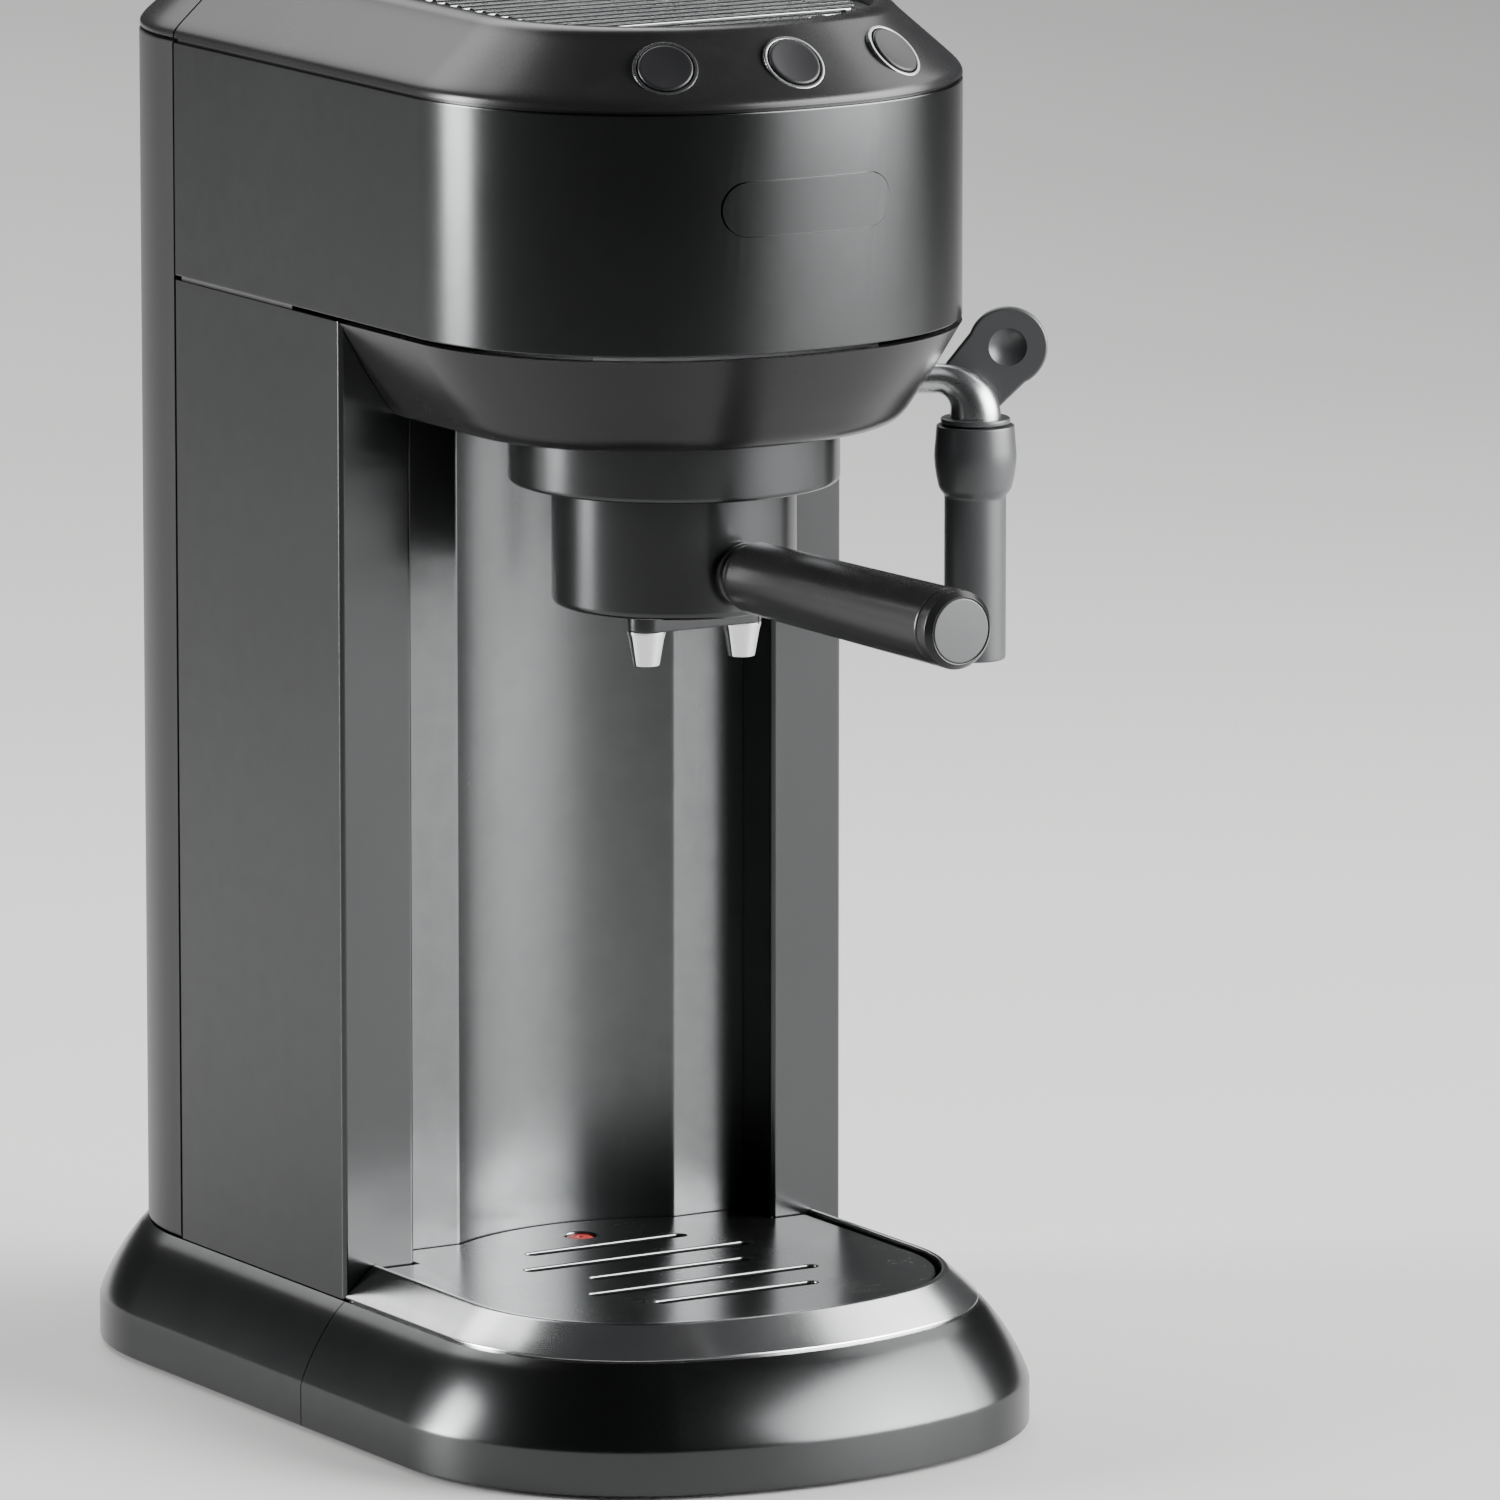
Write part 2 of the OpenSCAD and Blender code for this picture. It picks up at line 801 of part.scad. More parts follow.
module group_gasket() {
    color([0.20, 0.10, 0.08])
        at_group()
            ring(bayonet_r - 0.4, screen_r + 1.6, gasket_z, gasket_t);
}
module shower_screen() {
    drum = 1.2;
    color([0.75, 0.76, 0.77])
        at_group()
            difference() {
                union() {
                    translate([0, 0, gasket_z - 1.6 - drum])
                        cylinder(r = screen_r + 0.4, h = drum);
                    ring(screen_r + 0.4, screen_r - 0.8, gasket_z - 1.7, 3);
                }
                translate([0, 0, gasket_z - 4])
                    cylinder(r = screw_r + 0.1, h = 4);
                for (r = [9, 15, 20], i = [0:11])
                    rotate([0, 0, i * 30 + r])
                        translate([r, 0, gasket_z - 4])
                            cylinder(r = 0.8, h = 4, $fn = 16);
            }
}
module shower_screw() {
    color([0.75, 0.76, 0.77])
        at_group()
            translate([0, 0, gasket_z - 1.6 - 1.2 - 1.5]) {
                cylinder(r = 3.6, h = 1.5);
                cylinder(r = screw_r - 0.05, h = 9);
            }
}

/* ---- Works inside ---- */
block_z = flange_top_z + group_top_h;
module heating_block() {
    fins = 7;
    color([0.62, 0.63, 0.64])
        translate([0, group_y, block_z])
            difference() {
                translate([-block_w / 2, -block_d / 2, 0])
                    cube([block_w, block_d, block_h]);
                for (i = [0:fins - 1])
                    translate([-block_w / 2 - past, -block_d / 2 + 7 + i * 8, block_h - 5])
                        cube([block_w + 2 * past, 2.5, 5 + past]);
                translate([screen_r / 2, 0, -past])
                    cylinder(r = 2, h = 12);
            }
}
module thermostats() {
    color([0.85, 0.85, 0.83])
        for (x = [-25, 25])
            translate([x, group_y - 4.75, block_z + block_h]) {
                cylinder(r = 7, h = 6);
                for (side = [-1, 1])
                    translate([side * 3 - 0.4, -2.5, 6])
                        cube([0.8, 5, 6]);
            }
}
valve3_y = group_y + block_d / 2 + 16;
module three_way_valve() {
    color([0.70, 0.60, 0.30])
        translate([0, valve3_y, shelf_z + 2]) {
            translate([-12, -12, 0])
                cube([24, 24, 26]);
            translate([0, 0, 26])
                cylinder(r = 5, h = 10);
        }
}
pump_x = suction_x;
pump_low_z = base_z + 32;
pump_coil_z = pump_low_z + 26;
pump_coil_h = 46;
pump_r = 14;
pump_coil = 40;
module pump() {
    color([0.50, 0.50, 0.52])
        translate([pump_x, suction_y, 0]) {
            translate([0, 0, pump_low_z])
                cylinder(r = pump_r, h = pump_coil_h + 52);
            translate([-pump_coil / 2, -pump_coil / 2 + 2, pump_coil_z])
                cube([pump_coil, pump_coil - 4, pump_coil_h]);
        }
}
module pump_mounts() {
    hold_t = 6;
    color([0.05, 0.05, 0.05])
        for (z = [pump_low_z + 8, pump_low_z + pump_coil_h + 36])
            translate([pump_x, suction_y, z])
                difference() {
                    translate([-18, -18, 0])
                        cube([36, frame_y - frame_t - suction_y + 18, hold_t]);
                    translate([0, 0, -past])
                        cylinder(r = pump_r, h = hold_t + 2 * past);
                }
}
board_w = 70;
board_h = 90;
board_x = 31;
board_z = base_z + 95;
board_t = 1.6;
board_screw_xs = [board_x - board_w / 2 + 5, board_x + board_w / 2 - 5];
board_screw_zs = [board_z - board_h / 2 + 5, board_z + board_h / 2 - 5];
board_y = frame_y - frame_t - 5 - board_t;
module control_board() {
    color([0.10, 0.32, 0.16])
        difference() {
            union() {
                translate([board_x - board_w / 2, board_y, board_z - board_h / 2])
                    cube([board_w, board_t, board_h]);
                translate([board_x - 8, board_y - 15, board_z + 8])
                    cube([26, 15, 22]);
                translate([board_x - 24, board_y - 11, board_z - 30])
                    cube([16, 11, 24]);
                translate([board_x + 12, board_y, board_z - 20])
                    rotate([90, 0, 0])
                        cylinder(r = 6, h = 14);
            }
            for (x = board_screw_xs, z = board_screw_zs)
                translate([x, board_y - past, z])
                    rotate([-90, 0, 0])
                        cylinder(r = screw_r + 0.2, h = board_t + 2 * past);
        }
}
module screw() {
    translate([0, 0, -screw_head_h])
        cylinder(r = screw_head_r, h = screw_head_h);
    cylinder(r = screw_r - 0.03, h = screw_l - plate_t - 0.5);
}
module screws() {
    shower_screw();
    color([0.6, 0.6, 0.62]) {
        base_screw_places()
            translate([0, 0, foot_h])
                screw();
        for (x = board_screw_xs, z = board_screw_zs)
            translate([x, board_y, z])
                rotate([-90, 0, 0])
                    screw();
    }
}
// A run of hose through corner points, with a ball at each bend
module hose(points, r) {
    for (i = [0:len(points) - 2]) {
        a = points[i];
        b = points[i + 1];
        d = b - a;
        l = norm(d);
        translate(a)
            rotate([0, acos(d[2] / l), atan2(d[1], d[0])])
                cylinder(r = r, h = l, $fn = 24);
        if (i > 0)
            translate(a)
                sphere(r = r, $fn = 24);
    }
}
dock_low_z = plate_top_z + 5;
module hoses() {
    low_z = dock_low_z + 4;
    high_z = shelf_z + 20;
    color([0.85, 0.85, 0.82]) {
        hose([[-dock_r, dock_y, low_z], [suction_x, dock_y, low_z],
              [suction_x, suction_y, low_z], [suction_x, suction_y, pump_low_z]], hose_r);
        hose([[pump_x, suction_y, pump_low_z + pump_coil_h + 52], [pump_x, suction_y, high_z],
              [pump_x, valve3_y, high_z], [-12, valve3_y, high_z]], hose_r - 1);
    }
}
module steam_tube() {
    r = 2;
    feed_x = block_w / 2 - 12;
    feed_z = block_z + block_h - 7;
    low_z = wand_bend_z + 8;
    end = wand_point(-wand_socket_far - 1);
    color([0.80, 0.50, 0.35]) {
        hose([[steam_x, knob_y, knob_z - 14], [steam_x, knob_y, low_z], [steam_x, end[1] + 6, low_z]], r);
        hose([[feed_x, group_y + block_d / 2, feed_z], [feed_x, knob_y, feed_z],
              [feed_x, knob_y, knob_z], [valve_x - 6, knob_y, knob_z]], r);
    }
}
module tank_dock() {
    color([0.10, 0.10, 0.11])
        translate([0, dock_y, 0])
            difference() {
                translate([0, 0, dock_low_z])
                    cylinder(r = dock_r, h = base_z - dock_low_z);
                translate([0, 0, base_z - 10])
                    cylinder(r = dock_r - 3, h = 10 + past);
                translate([0, 0, dock_low_z + 4])
                    rotate([0, -90, 0])
                        cylinder(r = hose_r - 1, h = dock_r + past);
                translate([0, 0, dock_low_z + 4])
                    cylinder(r = hose_r - 1, h = base_z);
            }
}
valve_r = 7;
module dock_seal() {
    color([0.55, 0.20, 0.15])
        translate([0, dock_y, 0])
            ring(dock_r - 3, valve_r + 0.6, base_z - 10, 3);
}

/* ---- Drip tray ---- */
tray_back_y = column_y - 0.4;
tray_floor_z = plate_top_z + 0.5;
plate_z = base_z + trim_h - 2.4;
plate_edge = trim_w + 2.4;
cup_plate_t = 1.4;
// The cup plate's outline reaches back between the column's strips to the backsplash
module plate_outline(inset) {
    difference() {
        polygon(base_outline(plate_edge + inset));
        translate([-body_w, tray_back_y - 0.4 - inset])
            square([2 * body_w, body_d]);
    }
    intersection() {
        translate([-recess_x + 0.8 + inset, front_y + 40])
            square([2 * (recess_x - 0.8 - inset), body_d]);
        union() {
            translate([-body_w / 2, front_y + 40])
                square([body_w, recess_y - front_y - 40.6 - inset]);
            translate([0, group_y])
                circle(r = hollow_r - 0.6 - inset, $fn = 96);
        }
        translate([-body_w / 2, group_y])
            square([body_w, body_d]);
    }
}
tub_inset = 0.6;
tub_wall = 2;
module tray_body() {
    color([0.13, 0.13, 0.14]) {
        difference() {
            base_loft(base_profile);
            base_loft(base_hollow);
            behind(tray_back_y);
            translate([0, 0, base_z / 2])
                linear_extrude(base_z)
                    plate_outline(tub_inset + tub_wall);
        }
        difference() {
            translate([0, 0, tray_floor_z])
                linear_extrude(plate_z - tray_floor_z)
                    plate_outline(tub_inset);
            translate([0, 0, tray_floor_z + tub_wall])
                linear_extrude(2 * base_z)
                    plate_outline(tub_inset + tub_wall);
        }
        translate([0, float_y, tray_floor_z + 1])
            cylinder(r = float_pin_r, h = 16, $fn = 32);
    }
}
trim_profile = [
    [1.5, base_z],
    [1.5, base_z + 0.7],
    [0.2, base_z + 0.7],
    [0.2, base_z + 1.2],
    [trim_w - 0.9, base_z + trim_h - 0.3],
    [trim_w, base_z + trim_h]
];
module tray_trim_ring() {
    color([0.62, 0.63, 0.65])
        difference() {
            base_loft(trim_profile);
            behind(tray_back_y);
            translate([0, 0, base_z - past])
                linear_extrude(2 * trim_h)
                    polygon(base_outline(trim_w + 0.8));
        }
}
slot_w = 4;
slot_mid_y = group_y + 2;
float_y = recess_y - 7;
float_pin_r = 2;
float_r = 5;
float_cap_r = 4;
module cup_plate() {
    rows = 5;
    color([0.50, 0.51, 0.52])
        difference() {
            translate([0, 0, plate_z])
                linear_extrude(cup_plate_t)
                    plate_outline(0);
            for (i = [0:rows - 1])
                translate([0, slot_mid_y + (i - (rows - 1) / 2) * slot_pitch, plate_z - past])
                    round_slot(i % 2 == 0 ? slot_short : slot_long, slot_w, cup_plate_t + 2 * past);
            translate([0, float_y, plate_z - past])
                cylinder(r = float_cap_r + slip, h = cup_plate_t + 2 * past);
        }
}
float_low_z = tray_floor_z + tub_wall + 6;
module tray_float() {
    color([0.70, 0.12, 0.10])
        translate([0, float_y, 0])
            difference() {
                union() {
                    translate([0, 0, float_low_z])
                        cylinder(r = float_r, h = 8);
                    translate([0, 0, float_low_z])
                        cylinder(r = float_cap_r, h = plate_z + cup_plate_t - float_low_z - 0.4);
                }
                translate([0, 0, float_low_z - past])
                    cylinder(r = float_pin_r + run, h = 18);
            }
}

/* ---- Water tank ---- */
tank_front_y = tank_y + seam;
tank_low_z = base_z + 0.4;
tank_wall = 2.2;
tank_high_z = band_top_z - seam / 2;
tank_axis_y = tank_front_y + 3;
hinge_round = 3.2; // radius of the lid's front edge about its hinge
tank_axis_z = top_z - hinge_round;
ear_x = 46;
ear_w = 6;
pin_r = 1.5;
pin_l = 4;
module tank_outline(inset) {
    difference() {
        polygon(body_outline(inset));
        translate([-body_w, front_y - body_d])
            square([2 * body_w, body_d + tank_front_y + inset - front_y]);
    }
}
module tank_body() {
    color([0.10, 0.10, 0.11]) {
        difference() {
            translate([0, 0, tank_low_z])
                linear_extrude(tank_high_z - tank_low_z)
                    tank_outline(0);
            translate([0, 0, tank_low_z + tank_wall])
                linear_extrude(tank_high_z)
                    tank_outline(tank_wall);
            translate([0, dock_y, tank_low_z - past])
                cylinder(r = valve_r - 2, h = tank_wall + 2 * past);
        }
        for (x = [-ear_x, ear_x])
            translate([x, 0, 0])
                difference() {
                    union() {
                        translate([-ear_w / 2, tank_front_y, tank_high_z - 8])
                            cube([ear_w, 2 * (tank_axis_y - tank_front_y), tank_axis_z - tank_high_z + 8]);
                        translate([-ear_w / 2, tank_axis_y, tank_axis_z])
                            rotate([0, 90, 0])
                                cylinder(r = 3, h = ear_w, $fn = 32);
                    }
                    translate([-ear_w, tank_axis_y, tank_axis_z])
                        rotate([0, 90, 0])
                            cylinder(r = pin_r, h = 2 * ear_w, $fn = 32);
                }
    }
}
module tank_valve() {
    stem_l = 6.5;
    color([0.80, 0.80, 0.78])
        translate([0, dock_y, 0])
            difference() {
                union() {
                    translate([0, 0, tank_low_z - stem_l])
                        cylinder(r = valve_r - 2.05, h = stem_l + tank_wall + 1);
                    translate([0, 0, tank_low_z + tank_wall])
                        cylinder(r = valve_r, h = 10);
                    ring(valve_r, valve_r - 2.05, tank_low_z - 3, 3);
                }
                translate([0, 0, tank_low_z - stem_l - past])
                    cylinder(r = 2.5, h = stem_l + tank_wall + 9);
            }
}
module lid_hinge_pins() {
    color([0.72, 0.73, 0.74])
        for (x = [-ear_x, ear_x])
            translate([x - ear_w / 2 - pin_l, tank_axis_y, tank_axis_z])
                rotate([0, 90, 0])
                    cylinder(r = pin_r, h = ear_w + 2 * pin_l, $fn = 32);
}
lid_profile = [
    [0.6, band_top_z + seam / 2],
    [0.3, band_top_z + 1.8],
    [1.5, band_top_z + 3.4],
    [4.2, band_top_z + 5.9],
    [top_rim_inset - 4.2, top_z - 2.9],
    [top_rim_inset - 2.2, top_z - 0.7],
    [top_rim_inset, top_z]
];
lid_hollow = [
    [wall + 0.6, band_top_z - past],
    [wall + 1.5, band_top_z + 2.4],
    [top_rim_inset - 1.4, top_z - 4.4],
    [top_rim_inset + 4, top_z - wall]
];
module tank_lid() {
    hinge_gap = 0.4;
    color([0.06, 0.06, 0.065])
        difference() {
            union() {
                difference() {
                    body_loft(lid_profile);
                    body_loft(lid_hollow);
                    in_front_of(tank_front_y);
                }
                intersection() {
                    body_loft(lid_profile);
                    for (x = [-ear_x, ear_x], side = [-1, 1])
                        translate([x + side * (ear_w / 2 + hinge_gap + pin_l / 2) - pin_l / 2,
                                   tank_front_y, tank_axis_z - 3.5])
                            cube([pin_l, 7, 10]);
                    behind(tank_front_y);
                }
            }
            difference() {
                translate([-body_w, tank_front_y - past, tank_axis_z])
                    cube([2 * body_w, tank_axis_y - tank_front_y + past, top_h]);
                translate([-body_w, tank_axis_y, tank_axis_z])
                    rotate([0, 90, 0])
                        cylinder(r = hinge_round, h = 2 * body_w);
            }
            for (x = [-ear_x, ear_x]) {
                translate([x - ear_w / 2 - hinge_gap, tank_front_y - past, band_top_z])
                    cube([ear_w + 2 * hinge_gap, 2 * (tank_axis_y - tank_front_y) + 1.4 + past,
                          top_h + past]);
                translate([x - ear_w - pin_l, tank_axis_y, tank_axis_z])
                    rotate([0, 90, 0])
                        cylinder(r = pin_r + run, h = 2 * (ear_w + pin_l), $fn = 32);
            }
        }
}

/* ---- Portafilter ---- */
handle_turn = 2;
handle_z = flange_low_z - 20.4;
cup_floor_z = holder_low_z + 5;
basket_t = 0.8;
basket_h = 22;
rim_z = lug_z + lug_h;
module portafilter_body() {
    socket_l = 30;
    color([0.10, 0.10, 0.105])
        at_group()
            difference() {
                union() {
                    translate([0, 0, holder_low_z + 1])
                        cylinder(r = holder_r, h = rim_z - holder_low_z - 1, $fn = 96);
                    translate([0, 0, holder_low_z])
                        cylinder(r = holder_r - 1, h = 2, $fn = 96);
                    for (a = lug_angles)
                        intersection() {
                            translate([0, 0, lug_z])
                                cylinder(r = lug_r, h = lug_h);
                            translate([0, 0, lug_z])
                                sector(a - lug_span / 2, a + lug_span / 2, lug_h);
                        }
                }
                translate([0, 0, cup_floor_z])
                    cylinder(r = basket_r + basket_t + 1.2, h = holder_h + 40);
                translate([0, spout_y, holder_low_z - past])
                    cylinder(r = 3, h = 10);
                rotate([0, 0, handle_turn])
                    translate([0, 0, handle_z])
                        rotate([90, 0, 0])
                            cylinder(r = 4, h = socket_l + holder_r);
            }
}
module filter_basket() {
    holes = 12;
    rim_r = basket_r + basket_t + 2.6;
    low_z = rim_z - basket_h;
    color([0.78, 0.79, 0.80])
        at_group()
            difference() {
                union() {
                    translate([0, 0, low_z])
                        cylinder(r = basket_r + basket_t, h = basket_h);
                    translate([0, 0, rim_z])
                        cylinder(r = rim_r, h = rim_top_z - rim_z);
                }
                translate([0, 0, low_z + basket_t])
                    cylinder(r = basket_r, h = basket_h + 10);
                for (r = [6, 12, 18], i = [0:holes - 1])
                    rotate([0, 0, i * 360 / holes])
                        translate([r, 0, low_z - past])
                            cylinder(r = 0.7, h = 3, $fn = 16);
            }
}
module basket_spring() {
    wire = 0.5;
    color([0.7, 0.7, 0.72])
        at_group()
            translate([0, 0, rim_z - 8])
                rotate_extrude()
                    translate([basket_r + basket_t + wire + 0.05, 0])
                        circle(r = wire, $fn = 20);
}
spout_y = -10;
spout_low_z = holder_low_z - 14;
module spout_pair() {
    bar_h = 5;
    color([0.80, 0.81, 0.82])
        at_group()
            translate([0, spout_y, 0]) {
                difference() {
                    union() {
                        translate([0, 0, holder_low_z - bar_h])
                            round_slot(spout_gap + 10, 10, bar_h);
                        translate([0, 0, holder_low_z - 0.1])
                            cylinder(r = 2.9, h = 4);
                        for (side = [-1, 1])
                            translate([side * spout_gap / 2, 0, spout_low_z]) {
                                cylinder(r1 = 3.4, r2 = 5, h = 9.5);
                            }
                    }
                    translate([0, 0, holder_low_z - 3])
                        cylinder(r = 1.8, h = 10);
                    for (side = [-1, 1])
                        translate([side * spout_gap / 2, 0, spout_low_z - past])
                            cylinder(r = 2, h = 12);
                }
            }
}
ferrule_l = 7;
ferrule_r = 8.2;
cap_l = 5.5;
grip_start = holder_r + ferrule_l - 1;
grip_r = 9.2;
module at_handle(reach) {
    at_group()
        rotate([0, 0, handle_turn])
            translate([0, -reach, handle_z])
                rotate([90, 0, 0])
                    children();
}
module handle_ferrule() {
    color([0.06, 0.06, 0.06])
        difference() {
            at_handle(holder_r - 2)
                union() {
                    translate([0, 0, 0.6])
                        cylinder(r = ferrule_r, h = grip_start - holder_r + 1.4);
                    cylinder(r = 3.95, h = 60);
                }
            at_group()
                translate([0, 0, holder_low_z])
                    cylinder(r = holder_r + 0.02, h = holder_h, $fn = 96);
        }
}
module handle_grip() {
    color([0.07, 0.07, 0.075])
        at_handle(grip_start)
            difference() {
                cylinder(r1 = grip_r, r2 = handle_r, h = handle_reach - cap_l - grip_start);
                translate([0, 0, -past])
                    cylinder(r = 3.95, h = 60 - grip_start + holder_r - 2 + past + 0.3);
            }
}
module handle_cap() {
    color([0.28, 0.29, 0.30])
        at_handle(handle_reach - cap_l)
            union() {
                cylinder(r = handle_r, h = cap_l - 1.6);
                translate([0, 0, cap_l - 1.6])
                    cylinder(r1 = handle_r, r2 = handle_r - 1.5, h = 1.6);
            }
}

/* ---- Steam wand ---- */
wand_lean = -30; // direction of the pipe, from +X towards -Y
wand_x = half_w + wand_out;
wand_bend_r = 10;
wand_bend_z = head_low_z + 6.7;
collar_z = wand_bend_z - wand_bend_r;
wand_socket_near = 27;
wand_socket_far = 35;
wand_socket_r = 5.6;
function wand_point(along) =
    [wand_x + along * cos(wand_lean), wand_y + along * sin(wand_lean), wand_bend_z];
// Local frame: +Z along the pipe outwards, +X down, its origin above the wand
module wand_axis() {
    translate([wand_x, wand_y, wand_bend_z])
        rotate([0, 0, wand_lean])
            rotate([0, 90, 0])
                children();
}
bend_steps = 12;
pipe_sides = 24;
elbow_r = 6.6;
// Stations of the pipe as [along, height, radius, tilt] in the plane of its bend
function pipe_stations() =
    concat(
        [[-wand_socket_far, 0, pipe_r, 0], [-wand_bend_r - 6, 0, pipe_r, 0]],
        [for (i = [0:bend_steps])
            let (a = 90 * i / bend_steps, grow = (1 - cos(180 * i / bend_steps)) / 2)
            [-wand_bend_r + wand_bend_r * sin(a), -wand_bend_r + wand_bend_r * cos(a),
             pipe_r + (elbow_r - pipe_r) * grow, a]]
    );
module wand_pipe() {
    stations = pipe_stations();
    rings = [for (s = stations) [for (i = [0:pipe_sides - 1])
        let (b = 360 * i / pipe_sides, u = s[2] * cos(b), v = s[2] * sin(b))
        [s[0] + u * sin(s[3]), v, s[1] + u * cos(s[3])]]];
    last = len(stations) - 1;
    color([0.55, 0.56, 0.57])
        translate([wand_x, wand_y, wand_bend_z])
            rotate([0, 0, wand_lean]) {
                polyhedron(
                    points = [for (r = rings) for (p = r) p],
                    faces = concat(
                        [for (k = [0:last - 1]) for (i = [0:pipe_sides - 1])
                            [k * pipe_sides + i, k * pipe_sides + (i + 1) % pipe_sides,
                             (k + 1) * pipe_sides + (i + 1) % pipe_sides, (k + 1) * pipe_sides + i]],
                        [[for (i = [0:pipe_sides - 1]) pipe_sides - 1 - i],
                         [for (i = [0:pipe_sides - 1]) last * pipe_sides + i]]));
            }
}
module wand_socket() {
    color([0.70, 0.70, 0.72])
        wand_axis()
            translate([0, 0, -wand_socket_far])
                difference() {
                    cylinder(r = wand_socket_r, h = wand_socket_far - wand_socket_near);
                    translate([0, 0, -past])
                        cylinder(r = pipe_r + run, h = 20);
                }
}
tab_r = 10.3;
tab_t = 3;
tab_tilt = 48;
tab_l = 15;
module thumb_tab() {
    color([0.20, 0.20, 0.21])
        difference() {
            translate([wand_x, wand_y, wand_bend_z - 4])
                rotate([0, 0, wand_lean])
                    translate([-1.5, elbow_r + 0.3, 0])
                        rotate([90, -tab_tilt, 0])
                            translate([0, 0, -tab_t + 0.3]) {
                                difference() {
                                    union() {
                                        translate([tab_l, 0, 0])
                                            cylinder(r = tab_r, h = tab_t);
                                        translate([0, -tab_r + 1.5, 0])
                                            cube([tab_l, 2 * tab_r - 3, tab_t]);
                                    }
                                    translate([tab_l, 0, tab_t + 5.5])
                                        sphere(r = 7.4, $fn = 48);
                                }
                            }
            translate([wand_x, wand_y, collar_z - 20])
                cylinder(r = 12, h = 20.3);
        }
}
module at_wand() {
    translate([wand_x, wand_y, 0])
        children();
}
collar_h = 7;
nozzle_r = 3.5;
nozzle_low_z = collar_z - sleeve_l + 4;
module wand_collar() {
    color([0.16, 0.16, 0.17])
        at_wand()
            difference() {
                union() {
                    translate([0, 0, collar_z - 1.5])
                        cylinder(r = 9, h = 1.5);
                    translate([0, 0, collar_z - collar_h])
                        cylinder(r = 6.6, h = collar_h - 1);
                }
                translate([0, 0, collar_z - collar_h - past])
                    cylinder(r = nozzle_r, h = collar_h);
            }
}
module wand_nozzle() {
    color([0.70, 0.71, 0.72])
        at_wand()
            difference() {
                translate([0, 0, nozzle_low_z])
                    cylinder(r = nozzle_r - 0.03, h = collar_z - nozzle_low_z - 1);
                translate([0, 0, nozzle_low_z - past])
                    cylinder(r = 1, h = 8);
            }
}
grip_z = collar_z - 1.9;
grip_h = 16.5;
module frother_sleeve() {
    low_z = collar_z - sleeve_l;
    color([0.17, 0.17, 0.18])
        at_wand()
            difference() {
                union() {
                    translate([0, 0, grip_z - grip_h])
                        cylinder(r1 = 9.4, r2 = 10.65, h = grip_h * 0.5);
                    translate([0, 0, grip_z - grip_h * 0.5])
                        cylinder(r1 = 10.65, r2 = 10.1, h = grip_h * 0.5);
                    translate([0, 0, grip_z - grip_h - 1.6])
                        cylinder(r1 = sleeve_r, r2 = 9.4, h = 1.6);
                    translate([0, 0, low_z])
                        cylinder(r = sleeve_r, h = grip_z - grip_h - low_z);
                }
                translate([0, 0, collar_z - collar_h - 1])
                    cylinder(r = 6.9, h = collar_h + past);
                translate([0, 0, low_z - past])
                    cylinder(r = nozzle_r + run, h = sleeve_l);
                translate([0, 0, low_z - past])
                    cylinder(r = sleeve_r - 2, h = 9);
            }
}

base_plate();
foot_ring();
base_shell();
base_deck();
left_side_panel();
right_side_panel();
backsplash_panel();
inner_frame();
head_shelf();
head_band();
badge_plate();
head_underside();
top_cover();
cup_warmer_plate();
button_rings();
button_switches();
pump();
pump_mounts();
heating_block();
thermostats();
three_way_valve();
group_flange();
group_body();
group_gasket();
shower_screen();
control_board();
screws();
hoses();
steam_tube();
steam_valve();
wand_socket();
tank_dock();
dock_seal();
rocker_frame();
cable_gland();
tray_body();
tray_trim_ring();
cup_plate();
tray_float();
tank_body();
tank_valve();
lid_hinge_pins();
tank_lid();
portafilter_body();
filter_basket();
basket_spring();
handle_ferrule();
handle_grip();
handle_cap();
spout_pair();
wand_pipe();
thumb_tab();
wand_collar();
wand_nozzle();
frother_sleeve();
brew_button_single();
brew_button_double();
steam_button();
steam_knob();
power_rocker();
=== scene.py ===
import json
import math
import bpy
from mathutils import Matrix, Vector


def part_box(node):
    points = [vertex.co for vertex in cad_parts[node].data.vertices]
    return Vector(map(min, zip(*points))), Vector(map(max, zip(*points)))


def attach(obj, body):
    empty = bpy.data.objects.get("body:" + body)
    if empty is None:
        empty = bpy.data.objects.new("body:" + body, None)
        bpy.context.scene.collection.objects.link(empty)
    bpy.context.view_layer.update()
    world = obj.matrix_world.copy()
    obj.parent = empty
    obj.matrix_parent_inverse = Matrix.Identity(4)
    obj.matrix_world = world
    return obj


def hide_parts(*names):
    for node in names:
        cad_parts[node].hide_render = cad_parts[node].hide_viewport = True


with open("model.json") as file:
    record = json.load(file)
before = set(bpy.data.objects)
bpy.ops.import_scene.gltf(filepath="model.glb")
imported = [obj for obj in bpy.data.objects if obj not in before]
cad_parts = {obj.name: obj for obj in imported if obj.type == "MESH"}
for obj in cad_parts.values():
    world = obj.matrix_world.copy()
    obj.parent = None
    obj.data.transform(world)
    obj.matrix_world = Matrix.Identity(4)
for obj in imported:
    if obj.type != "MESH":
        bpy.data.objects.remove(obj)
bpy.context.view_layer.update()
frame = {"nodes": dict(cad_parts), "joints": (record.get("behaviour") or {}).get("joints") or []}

mm = 0.001


# Places taken from the frame

def low(node):
    return Vector(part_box(node)[0])


def high(node):
    return Vector(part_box(node)[1])


def jointNamed(name):
    return next(joint for joint in frame["joints"] if joint["name"] == name)


